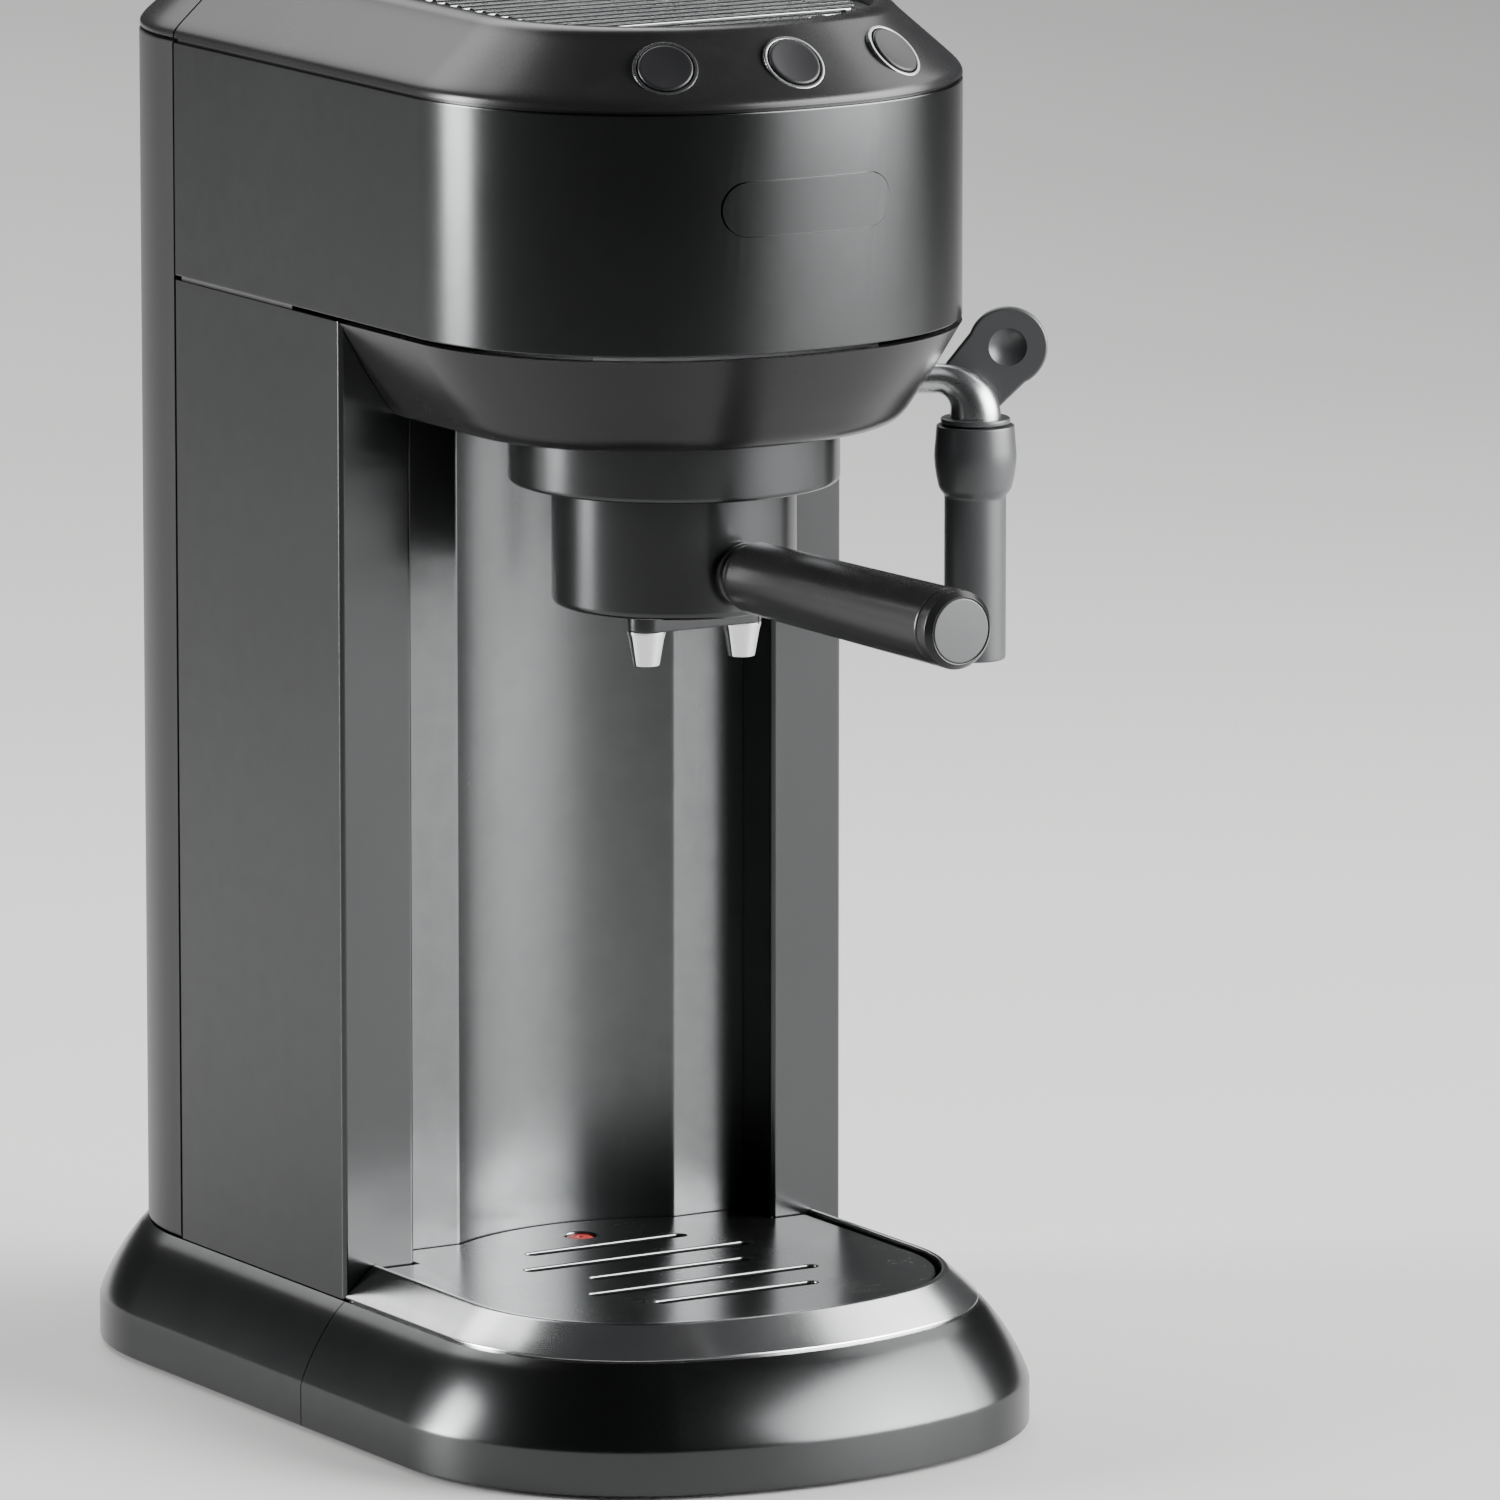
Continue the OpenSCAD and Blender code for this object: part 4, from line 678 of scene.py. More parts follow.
plate = {"edge": 11.3, "tongue": 53.1, "tongueBack": 14.1, "hollow": 63.6, "slots": 5, "pitch": 16.5,
         "short": 48.0, "long": 68.0, "slot": 4.0, "soft": 0.45}


def makeBase():
    rear = sweepBack(baseOutside(), columnY, closed=False)
    combine(rear, sweepBack(baseInside(), columnY - 0.005, closed=False))
    combine(rear, prism(platePath(-0.3 * mm), 0.004, baseZ + 0.01))
    combine(rear, rod(base["seat"] * mm, (0, base["seatY"] * mm, baseZ - 0.01), (0, base["seatY"] * mm, baseZ + 0.01)))
    x, y = (value * mm for value in base["suction"])
    combine(rear, rod(base["suctionHole"] * mm, (x, y, baseZ - 0.01), (x, y, baseZ + 0.01), 32))
    x, z = (value * mm for value in base["gland"])
    combine(rear, rod(base["glandHole"] * mm, (x, backY, z), (x, backY + 0.03, z), 32))
    finished(rear, "baseRear", "machine", "dark_base_metal", "base_shell", "base_deck")


def makeTray():
    trayY = high("tray_trim_ring").y
    skirt = sweepFront(baseOutside(), basePlan, trayY, closed=False)
    combine(skirt, sweepFront(baseInside(), basePlan, trayY + 0.005, closed=False))
    combine(skirt, prism(platePath(1.6 * mm), baseZ / 2, baseZ + 0.01))
    finished(skirt, "trayFront", "drip_tray", "dark_base_metal", "tray_body")
    floorZ = low("tray_body").z * 0 + 4.5 * mm
    tub = prism(platePath(0.6 * mm), floorZ, low("cup_plate").z)
    combine(tub, prism(platePath(2.6 * mm), floorZ + 2 * mm, baseZ * 2))
    bevelEdges(tub, 0.5 * mm, 2, 60)
    pinPlace = (low("tray_float") + high("tray_float")) / 2
    pin = turned(metres([(0, 0), (2, 0), (2, 14.6), (1.6, 15), (0, 15)]), 32)
    moveTo(pin, Matrix.Translation((pinPlace.x, pinPlace.y, floorZ + 1.2 * mm)))
    finished(joined([tub, pin]), "trayTub", "drip_tray", "inner_plastic", "tray_body")
    frameLow, frameTop = baseZ / mm, high("tray_trim_ring").z / mm
    section = [(1.5, frameLow), (1.5, frameLow + 0.7), (0.35, frameLow + 0.7), (0.2, frameLow + 0.85),
               (0.3, frameLow + 1.25), (4.0, frameLow + 4.62), (7.7, frameTop - 0.62), (8.1, frameTop - 0.26),
               (8.5, frameTop - 0.06), (8.9, frameTop), (9.4, frameTop), (9.62, frameTop - 0.1),
               (9.7, frameTop - 0.35), (9.7, frameLow)]
    trim = sweepFront(metres(section), basePlan, trayY)
    finished(trim, "trayTrim", "drip_tray", "trim_metal", "tray_trim_ring", angle=40)


def makeCupPlate():
    lowZ, highZ = low("cup_plate").z, high("cup_plate").z
    sheet = prism(platePath(0), lowZ, highZ)
    middleY = groupAxis.y + 2 * mm
    cutters = []
    for i in range(plate["slots"]):
        length = plate["short"] if i % 2 == 0 else plate["long"]
        y = middleY + (i - (plate["slots"] - 1) / 2) * plate["pitch"] * mm
        cutters.append(slotBlock(length * mm, plate["slot"] * mm, (0, y, lowZ - 0.001), 0.004))
    floatPlace = (low("tray_float") + high("tray_float")) / 2
    cutters.append(rod(4.3 * mm, (0, floatPlace.y, lowZ - 0.001), (0, floatPlace.y, highZ + 0.001)))
    combine(sheet, joined(cutters))
    bevelEdges(sheet, plate["soft"] * mm, 3, 60)
    finished(sheet, "cupPlate", "cup_plate", "tray_steel", "cup_plate", angle=40)
    lowFloat, highFloat = low("tray_float").z, high("tray_float").z
    height = (highFloat - lowFloat) / mm
    button = turned(metres([(2.05, 0), (5, 0), (5, 8), (4.2, 8.4), (4, 9), (4, height - 0.9), (3.7, height - 0.35),
                            (3.0, height), (0.9, height), (0.6, height - 0.4), (0.6, height - 1), (2.05, height - 1)]), 48)
    moveTo(button, Matrix.Translation((0, floatPlace.y, lowFloat)))
    finished(button, "trayFloat", "tray_float", "red_plastic", "tray_float")


makeBase()
makeTray()
makeCupPlate()
print("base and drip tray made")


# Column

column = {"sheet": 1.5, "strip": 21.1, "recess": 14.7, "splash": 1.2, "fold": 1.3, "hollowDeep": 8.8}


def makeSidePanel(side, name, node):
    lowZ, highZ = low(node).z, high(node).z
    sheet, inner = column["sheet"] * mm, halfWidth - column["strip"] * mm
    backFold = columnY + (column["recess"] + column["splash"]) * mm
    outline = [(halfWidth, columnY), (halfWidth, tankY), (halfWidth - sheet, tankY),
               (halfWidth - sheet, columnY + sheet), (inner + sheet, columnY + sheet),
               (inner + sheet, backFold), (inner, backFold), (inner, columnY)]
    panel = prism([(side * x, y) for x, y in outline], lowZ, highZ)
    folds = [(halfWidth, columnY), (inner, columnY)]
    selectEdges(panel, lambda place: any(abs(abs(place.x) - x) < 1e-5 and abs(place.y - y) < 1e-5
                                         for x, y in folds))
    bpy.ops.mesh.bevel(offset=column["fold"] * mm, segments=6, affect="EDGES")
    objectMode()
    if side > 0:
        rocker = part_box("rocker_frame")
        middle = (low("rocker_frame") + high("rocker_frame")) / 2
        combine(panel, block((halfWidth - 0.003, middle.y - 0.007, middle.z - 0.0105),
                             (halfWidth + 0.003, middle.y + 0.007, middle.z + 0.0105)))
    bevelEdges(panel, 0.25 * mm, 2, 60)
    finished(panel, name, "machine", "satin_dark_metal", node, angle=25)


def makeBacksplash():
    lowZ, highZ = low("backsplash_panel").z, high("backsplash_panel").z
    y = columnY + column["recess"] * mm
    radius = y + column["hollowDeep"] * mm - groupAxis.y
    sheet = column["splash"] * mm
    edge = halfWidth - column["strip"] * mm - 0.1 * mm
    half = math.acos((y - groupAxis.y) / radius)
    outerHalf = math.acos((y + sheet - groupAxis.y) / (radius + sheet))
    front = arcPoints((0, groupAxis.y), radius, math.pi / 2 + half, math.pi / 2 - half, 48)
    rear = arcPoints((0, groupAxis.y), radius + sheet, math.pi / 2 - outerHalf, math.pi / 2 + outerHalf, 48)
    outline = [(-edge, y)] + front + [(edge, y), (edge, y + sheet)] + rear + [(-edge, y + sheet)]
    splash = prism(outline, lowZ, highZ)
    crease = radius * math.sin(half)
    selectEdges(splash, lambda place: abs(abs(place.x) - crease) < 1e-5 and abs(place.y - y) < 1e-5)
    bpy.ops.mesh.bevel(offset=0.6 * mm, segments=4, affect="EDGES")
    objectMode()
    finished(splash, "backsplash", "machine", "splash_metal", "backsplash_panel", angle=12, weighted=True)


makeSidePanel(-1, "sidePanelLeft", "left_side_panel")
makeSidePanel(1, "sidePanelRight", "right_side_panel")
makeBacksplash()
print("column made")


# Head

head = {"sheet": 1.5, "roll": 0.5, "badgeDeep": 0.8, "badgeGap": 0.3, "badgeProud": 0.4, "badgeSoft": 0.4}


def badgeBlock(grow):
    lo, hi = low("badge_plate"), high("badge_plate")
    width, height = hi.x - lo.x + 2 * grow, hi.z - lo.z + 2 * grow
    centre = (0, frontY + 0.02, (lo.z + hi.z) / 2)
    return slotBlock(width, height, centre, 0.04, Matrix.Rotation(math.pi / 2, 4, "X"))


def bandPiece(outer, inner, lowZ, highZ, toY, roll=0.0):
    if not roll:
        return sweepFront([(inner, lowZ), (outer, lowZ), (outer, highZ), (inner, highZ)], bodyPlan, toY)
    points = [(inner, lowZ), (outer + roll, lowZ), (outer + roll * 0.3, lowZ + roll * 0.3),
              (outer, lowZ + roll), (outer, highZ - roll), (outer + roll * 0.3, highZ - roll * 0.3),
              (outer + roll, highZ), (inner, highZ)]
    return sweepFront(points, bodyPlan, toY)


def makeBand():
    band = bandPiece(0, head["sheet"] * mm, bandLowZ, bandHighZ, tankY, head["roll"] * mm)
    pocket = bandPiece(-0.003, head["badgeDeep"] * mm, bandLowZ + 0.01, bandHighZ - 0.01, -0.05)
    combine(pocket, badgeBlock(head["badgeGap"] * mm), "INTERSECT")
    combine(band, pocket)
    knob = jointNamed("steam_knob_turn")["pos_m"]
    combine(band, rod(4 * mm, (halfWidth - 0.005, knob[1], knob[2]), (halfWidth + 0.005, knob[1], knob[2]), 32))
    finished(band, "headBand", "machine", "satin_dark_metal", "head_band", angle=25)
    badge = bandPiece(-head["badgeProud"] * mm, head["badgeDeep"] * mm, bandLowZ + 0.01, bandHighZ - 0.01, -0.05)
    combine(badge, badgeBlock(0), "INTERSECT")
    bevelEdges(badge, head["badgeSoft"] * mm, 4, 50)
    finished(badge, "badge", "machine", "satin_dark_metal", "badge_plate", angle=25)


def makeUnderside():
    lowZ = headLowZ / mm
    outside = flowing([(21, lowZ), (17.5, lowZ + 0.6), (14.5, lowZ + 2.9), (11.5, lowZ + 7.2),
                       (7.3, lowZ + 13.6), (0.4, lowZ + 25.3)], 5) + [(0, lowZ + 25.9)]
    inside = [(21, lowZ + 2.5), (16.2, lowZ + 5.1), (9.8, lowZ + 14.6), (2.5, lowZ + 27.7)]
    backEdge = columnY - 0.3 * mm
    bowl = sweepFront(metres(outside), bodyPlan, backEdge, closed=False)
    combine(bowl, sweepFront(metres(inside), bodyPlan, backEdge + 0.004, closed=False))
    reach = halfWidth - (column["strip"] + 2) * mm
    tongue = block((-reach, backEdge - 0.002, headLowZ), (reach, high("head_underside").y, headLowZ + 2.5 * mm))
    combine(bowl, tongue, "UNION")
    combine(bowl, rod(42.8 * mm, (groupAxis.x, groupAxis.y, headLowZ - 0.002),
                      (groupAxis.x, groupAxis.y, headLowZ + 0.006), 128))
    out = Vector((math.cos(wand["lean"]), math.sin(wand["lean"]), 0))
    bend = Vector((wandAxis.x, wandAxis.y, wand["bendZ"] * mm))
    combine(bowl, rod(4.7 * mm, bend - out * 0.05, bend - out * 0.004, 48))
    finished(bowl, "headUnderside", "machine", "black_plastic", "head_underside", angle=28)


wand = {"lean": math.radians(-30), "bendZ": 268.7, "bend": 10.0, "pipe": 3.9, "elbow": 6.6, "inside": 35.0,
        "collarZ": 258.7, "sleeve": 8.0, "sleeveLow": 195.7}
top = {"rim": 20.0, "recess": 23.0, "recessDeep": 4.4, "ledge": 27.0, "recessBack": 8.0,
       "lean": 46.0, "pitch": 33.5, "inset": 8.6, "slopeZ": 10.0, "ring": 8.3, "button": 7.0,
       "proud": 0.9, "ringProud": 0.4, "rib": 3.4, "ribPitch": 6.4}


def slopePoints(inset=0.0):
    rimZ = topZ / mm
    seamZ = rimZ - 19
    return flowing([(inset, seamZ + 0.5), (0.3 + inset, seamZ + 1.8), (1.5 + inset, seamZ + 3.4),
                    (4.2 + inset, seamZ + 5.9), (10 + inset * 0.5, seamZ + 11.0), (15.8, rimZ - 2.9),
                    (17.8, rimZ - 1.0), (20, rimZ - 0.12), (22, rimZ)], 4)


def buttonMatrix(index):
    reach = bodyPlan["cornerRadius"] - top["inset"] * mm
    x, turn, bigY, smallY = planArcs(bodyPlan)
    swing = math.asin((top["pitch"] * mm - x) / reach)
    y = frontY + top["inset"] * mm if index == 0 else smallY - reach * math.cos(swing)
    place = Matrix.Translation((index * top["pitch"] * mm, y, topZ - 19 * mm + top["slopeZ"] * mm))
    return place @ Matrix.Rotation(index * swing, 4, "Z") @ Matrix.Rotation(math.radians(top["lean"]), 4, "X")


def makeTop():
    seamZ = topZ / mm - 19
    outside = [(1.2, seamZ - 0.4), (1.2, seamZ + 0.4)] + slopePoints()
    inside = [(3.7, seamZ - 1.4), (3.7, seamZ + 2.4), (16.2, topZ / mm - 7)]
    cover = sweepFront(metres(outside), bodyPlan, tankY, closed=False)
    combine(cover, sweepFront(metres(inside), bodyPlan, tankY - 2.5 * mm, closed=False))
    recessY = tankY - top["recessBack"] * mm
    floorZ = topZ - top["recessDeep"] * mm
    wallInset, rimZ = top["recess"], topZ / mm
    opening = [(wallInset, floorZ / mm), (wallInset, rimZ - 0.8), (wallInset - 0.06, rimZ - 0.5),
               (wallInset - 0.22, rimZ - 0.24), (wallInset - 0.46, rimZ - 0.07), (wallInset - 0.75, rimZ),
               (wallInset - 0.75, rimZ + 5)]
    combine(cover, sweepFront(metres(opening), bodyPlan, recessY, closed=False))
    combine(cover, prism(frontPath(bodyPlan, top["ledge"] * mm, recessY - 4 * mm), floorZ - 0.01, topZ + 0.01))
    for index in (-1, 0, 1):
        matrix = buttonMatrix(index)
        hole = rod((top["ring"] + 0.02) * mm, (0, 0, -0.006), (0, 0, 0.006), 72)
        combine(cover, moveTo(hole, matrix))
    finished(cover, "topCover", "machine", "black_plastic", "top_cover", angle=28)


def makeButtons():
    names = {-1: ("buttonSingle", "single_button", "brew_button_single"),
             0: ("buttonDouble", "double_button", "brew_button_double"),
             1: ("buttonSteam", "steam_switch", "steam_button")}
    ring, proud = top["ring"], top["ringProud"]
    rings = []
    for index, (name, body, node) in names.items():
        matrix = buttonMatrix(index)
        collar = turned(metres([(ring - 0.02, -2.6), (ring - 0.02, proud - 0.25), (ring - 0.1, proud - 0.07),
                                (ring - 0.3, proud), (7.55, proud), (7.38, proud - 0.06), (7.3, proud - 0.25),
                                (7.3, -2.6)]), 96)
        rings.append(moveTo(collar, matrix))
        face = top["proud"]
        cap = turned(metres([(0, face - 0.28), (2.5, face - 0.26), (4.6, face - 0.16), (5.9, face - 0.03),
                             (6.3, face), (6.6, face - 0.04), (6.85, face - 0.18), (6.96, face - 0.4), (7, face - 0.7),
                             (7, -2.2), (6.8, -2.5), (2, -2.5), (2, -7), (0, -7)]), 96)
        finished(moveTo(cap, matrix), name, body, "matte_black_plastic", node, angle=35)
    finished(joined(rings), "buttonRings", "machine", "satin_pipe", "button_rings", angle=35)


def makeWarmer():
    lowZ, highZ = low("cup_warmer_plate").z, high("cup_warmer_plate").z
    recessY = tankY - top["recessBack"] * mm
    plateZ = lowZ + 1.6 * mm
    sheet = prism(frontPath(bodyPlan, (top["recess"] + 0.3) * mm, recessY - 0.3 * mm), lowZ, plateZ)
    width, height = top["rib"], (highZ - plateZ) / mm
    section = [(-width / 2, -0.3)] + [(width / 2 * x, height * z) for x, z in
                                      ((-0.98, 0.45), (-0.86, 0.72), (-0.62, 0.9), (-0.32, 0.98), (0, 1),
                                       (0.32, 0.98), (0.62, 0.9), (0.86, 0.72), (0.98, 0.45))] + [(width / 2, -0.3)]
    ribs = []
    firstY = frontY + (top["recess"] + 6 + width / 2) * mm
    count = int((recessY - firstY - width * mm) / (top["ribPitch"] * mm)) + 1
    model = ringOf([(-0.08, y * mm, plateZ + z * mm) for y, z in section])
    edit(model)
    bpy.ops.mesh.edge_face_add()
    bpy.ops.mesh.extrude_region_move(TRANSFORM_OT_translate={"value": (0.16, 0, 0)})
    objectMode()
    weld(model)
    for i in range(count):
        rib = model.copy()
        rib.data = model.data.copy()
        bpy.context.scene.collection.objects.link(rib)
        rib.location.y = firstY + i * top["ribPitch"] * mm
        placeInMesh(rib)
        ribs.append(rib)
    bpy.data.objects.remove(model, do_unlink=True)
    ribs = joined(ribs)
    combine(ribs, prism(frontPath(bodyPlan, (top["recess"] + 5) * mm, recessY - 5 * mm), lowZ + 0.001, highZ + 0.001),
            "INTERSECT")
    bevelEdges(ribs, 0.35 * mm, 2, 60)
    finished(joined([sheet, ribs]), "cupWarmer", "machine", "tray_steel", "cup_warmer_plate", angle=35)


makeBand()
makeUnderside()
makeTop()
makeButtons()
makeWarmer()
print("head made")


# Water tank

tank = {"wall": 2.2, "ear": 46.0, "earWidth": 6.0, "pin": 1.5, "hingeRound": 3.2, "valveHole": None}


def makeTank():
    lowZ = low("tank_body").z
    rimZ = bandHighZ
    hinge = Vector(jointNamed("tank_lid_hinge")["pos_m"])
    wall = tank["wall"] * mm
    shell = sweepBack([(1.2 * mm, lowZ), (0.5 * mm, lowZ + 0.15 * mm), (0.15 * mm, lowZ + 0.5 * mm),
                       (0, lowZ + 1.2 * mm), (0, rimZ - 0.5 * mm), (0.15 * mm, rimZ - 0.15 * mm),
                       (0.5 * mm, rimZ)], tankFrontY, closed=False)
    combine(shell, sweepBack([(wall, lowZ + wall), (wall, rimZ), (wall, rimZ + 0.01)], tankFrontY + wall, closed=False))
    valve = (low("tank_valve") + high("tank_valve")) / 2
    combine(shell, rod(6.5 * mm, (valve.x, valve.y, lowZ - 0.001), (valve.x, valve.y, lowZ + 0.005), 48))
    ears = []
    for x in (-tank["ear"] * mm, tank["ear"] * mm):
        width = tank["earWidth"] * mm / 2
        side = [(tankFrontY + 0.0001, rimZ - 0.008)] + [(2 * hinge.y - tankFrontY, rimZ - 0.008)]
        side += arcPoints((hinge.y, hinge.z), 3 * mm, 0, math.pi, 20)
        ear = ringOf([(x - width, y, z) for y, z in side])
        edit(ear)
        bpy.ops.mesh.edge_face_add()
        bpy.ops.mesh.extrude_region_move(TRANSFORM_OT_translate={"value": (2 * width, 0, 0)})
        objectMode()
        weld(ear)
        combine(ear, rod(tank["pin"] * mm, (x - 0.01, hinge.y, hinge.z), (x + 0.01, hinge.y, hinge.z), 32))
        ears.append(bevelEdges(ear, 0.4 * mm, 3, 40))
    finished(joined([shell] + ears), "tankBody", "water_tank", "tank_plastic", "tank_body", angle=30)
    seamZ = topZ / mm - 19
    outside = [(0.6, seamZ + 0.4)] + [(max(p[0], 0.2), p[1]) for p in slopePoints()]
    inside = [(3.1, seamZ - 1), (4.0, seamZ + 2.4), (18.6, topZ / mm - 4.4), (24, topZ / mm - 2.5)]
    lid = sweepBack(metres(outside), tankFrontY, closed=False)
    combine(lid, sweepBack(metres(inside), tankFrontY + 2.5 * mm, closed=False))
    corner = block((-0.09, tankFrontY - 0.002, hinge.z), (0.09, hinge.y, topZ + 0.01))
    combine(corner, rod(tank["hingeRound"] * mm, (-0.1, hinge.y, hinge.z), (0.1, hinge.y, hinge.z), 96))
    combine(lid, corner)
    knuckles = []
    for x in (-tank["ear"] * mm, tank["ear"] * mm):
        half = tank["earWidth"] * mm / 2 + 0.4 * mm
        combine(lid, block((x - half, tankFrontY - 0.002, seamZ * mm), (x + half, hinge.y + 4.4 * mm, topZ + 0.01)))
        for side in (-1, 1):
            inner, outer = x + side * half, x + side * (half + 4 * mm)
            knuckle = rod(3.1 * mm, (inner, hinge.y, hinge.z), (outer, hinge.y, hinge.z), 48)
            bore = rod(1.55 * mm, (inner - side * 0.001, hinge.y, hinge.z), (outer + side * 0.001, hinge.y, hinge.z), 32)
            knuckles.append(combine(knuckle, bore))
    bevelEdges(lid, 0.4 * mm, 3, 50)
    finished(joined([lid] + knuckles), "tankLid", "tank_lid", "black_plastic", "tank_lid", angle=28)


makeTank()
print("tank made")


# Brewing group and portafilter

holder = {"flange": 42.5, "body": 31.4, "lugs": 36.4, "ledge": 32.0, "bayonet": 37.0, "cup": 27.5,
          "handleTurn": math.radians(2), "handleZ": 226.9, "reach": 131.8, "grip": 9.2, "gripEnd": 10.0,
          "ferrule": 8.2, "gripStart": 37.4, "cap": 5.5, "spoutGap": 28.3, "spoutY": -10.0}


def sector(fromAngle, toAngle, lowZ, highZ, radius):
    points = [(groupAxis.x, groupAxis.y)]
    points += arcPoints((groupAxis.x, groupAxis.y), radius, math.radians(fromAngle), math.radians(toAngle), 12)
    return prism(points, lowZ, highZ)


def handleMatrix(reach):
    turn = Matrix.Rotation(holder["handleTurn"], 4, "Z")
    place = Matrix.Translation((groupAxis.x, groupAxis.y, 0))
    return place @ turn @ Matrix.Translation((0, -reach * mm, holder["handleZ"] * mm)) @ Matrix.Rotation(math.pi / 2, 4, "X")


def atGroup(piece):
    return moveTo(piece, Matrix.Translation((groupAxis.x, groupAxis.y, 0)))


def makeFlange():
    lowZ, highZ = low("group_flange").z / mm, high("group_flange").z / mm
    outer, inner, ledge = holder["flange"], holder["bayonet"], holder["ledge"]
    ring = turned(metres([(ledge, lowZ), (outer - 1.3, lowZ), (outer - 0.75, lowZ + 0.12), (outer - 0.3, lowZ + 0.42),
                          (outer - 0.06, lowZ + 0.85), (outer, lowZ + 1.4), (outer, highZ), (inner, highZ),
                          (inner, lowZ + 4), (ledge, lowZ + 4)]), 144)
    atGroup(ring)
    for side in (0, 180):
        combine(ring, sector(side - 66, side - 34, (lowZ - 1) * mm, (lowZ + 4.2) * mm, (inner - 0.4) * mm))
    finished(ring, "groupFlange", "machine", "satin_black_metal", "group_flange", angle=35)


def makeHolder():
    lowZ = low("portafilter_body").z / mm
    rimZ = high("portafilter_body").z / mm
    outer, cup = holder["body"], holder["cup"]
    body = turned(metres([(0, lowZ + 0.4), (14, lowZ + 0.25), (26, lowZ), (outer - 2.2, lowZ), (outer - 1.2, lowZ + 0.14),
                          (outer - 0.45, lowZ + 0.55), (outer - 0.1, lowZ + 1.15), (outer, lowZ + 1.9), (outer, rimZ - 0.4),
                          (outer - 0.12, rimZ - 0.12), (outer - 0.4, rimZ), (cup + 0.3, rimZ), (cup, rimZ - 0.3),
                          (cup, lowZ + 7), (cup - 2, lowZ + 5), (0, lowZ + 5)]), 144)
    atGroup(body)
    for side in (0, 180):
        lug = sector(side - 13, side + 13, rimZ * mm - 4 * mm, rimZ * mm, holder["lugs"] * mm)
        keep = sector(side - 14, side + 14, rimZ * mm - 0.006, rimZ * mm + 0.001, 0.029)
        combine(lug, keep)
        bevelEdges(lug, 0.5 * mm, 2, 40)
        combine(body, lug, "UNION")
    hole = moveTo(rod(4 * mm, (0, 0, 0), (0, 0, 0.02), 40), handleMatrix(20))
    combine(body, hole)
    combine(body, rod(3 * mm, (groupAxis.x, groupAxis.y + holder["spoutY"] * mm, lowZ * mm - 0.001),
                      (groupAxis.x, groupAxis.y + holder["spoutY"] * mm, lowZ * mm + 0.008), 32))
    finished(body, "portafilter", "portafilter", "satin_black_metal", "portafilter_body", angle=35)


def makeHandle():
    ferruleRadius = holder["ferrule"]
    start = holder["gripStart"] - 29.4
    # Measured along the handle from just inside the portafilter
    ferrule = turned(metres([(0, -0.5), (3.9, -0.5), (3.9, 0.2), (ferruleRadius - 0.6, 0.2), (ferruleRadius - 0.6, 2.6),
                             (ferruleRadius - 0.25, 3.0), (ferruleRadius, 3.5), (ferruleRadius, 4.4),
                             (ferruleRadius - 0.3, 4.8), (ferruleRadius - 0.9, 5.0), (ferruleRadius - 0.9, 5.4),
                             (ferruleRadius - 0.3, 5.6), (ferruleRadius, 6.0), (ferruleRadius, 7.1),
                             (ferruleRadius - 0.3, 7.5), (ferruleRadius - 1.0, 7.7), (ferruleRadius - 1.0, start),
                             (3.95, start), (3.95, 60), (0, 60)]), 96)
    moveTo(ferrule, handleMatrix(29.4))
    core = rod(holder["body"] * mm * 1.0005, (0, 0, -0.02), (0, 0, 0.4), 144)
    combine(ferrule, atGroup(core))
    finished(ferrule, "handleFerrule", "portafilter", "satin_black_metal", "handle_ferrule", angle=35)
    length = holder["reach"] - holder["cap"] - holder["gripStart"]
    startRadius, endRadius = holder["grip"], holder["gripEnd"]
    grip = turned(metres([(3.95, 0), (startRadius - 1.3, 0), (startRadius - 0.55, 0.18), (startRadius - 0.15, 0.6),
                          (startRadius, 1.3), (endRadius - 0.02, length - 1.0), (endRadius - 0.1, length - 0.35),
                          (endRadius - 0.4, length), (3.95, length)]), 96)
    finished(moveTo(grip, handleMatrix(holder["gripStart"])), "handleGrip", "portafilter", "black_plastic",
             "handle_grip", angle=35)
    depth = holder["cap"]
    shell = turned(metres([(0, 0), (endRadius - 0.5, 0), (endRadius - 0.15, 0.2), (endRadius, 0.6),
                           (endRadius, depth - 1.9), (endRadius - 0.1, depth - 1.6), (endRadius - 1.3, depth - 0.22),
                           (endRadius - 1.5, depth - 0.1), (endRadius - 1.68, depth - 0.16), (endRadius - 1.75, depth - 0.4),
                           (0, depth - 0.4)]), 96)
    finished(moveTo(shell, handleMatrix(holder["reach"] - depth)), "handleEnd", "portafilter", "black_plastic",
             "handle_cap", angle=35)
    inlay = turned(metres([(0, depth - 0.75), (endRadius - 1.9, depth - 0.75), (endRadius - 1.9, depth - 0.22),
                           (endRadius - 2.0, depth - 0.08), (endRadius - 2.2, depth), (0, depth)]), 96)
    finished(moveTo(inlay, handleMatrix(holder["reach"] - depth)), "handleInlay", "portafilter", "grey_plastic",
             "handle_cap", angle=35)


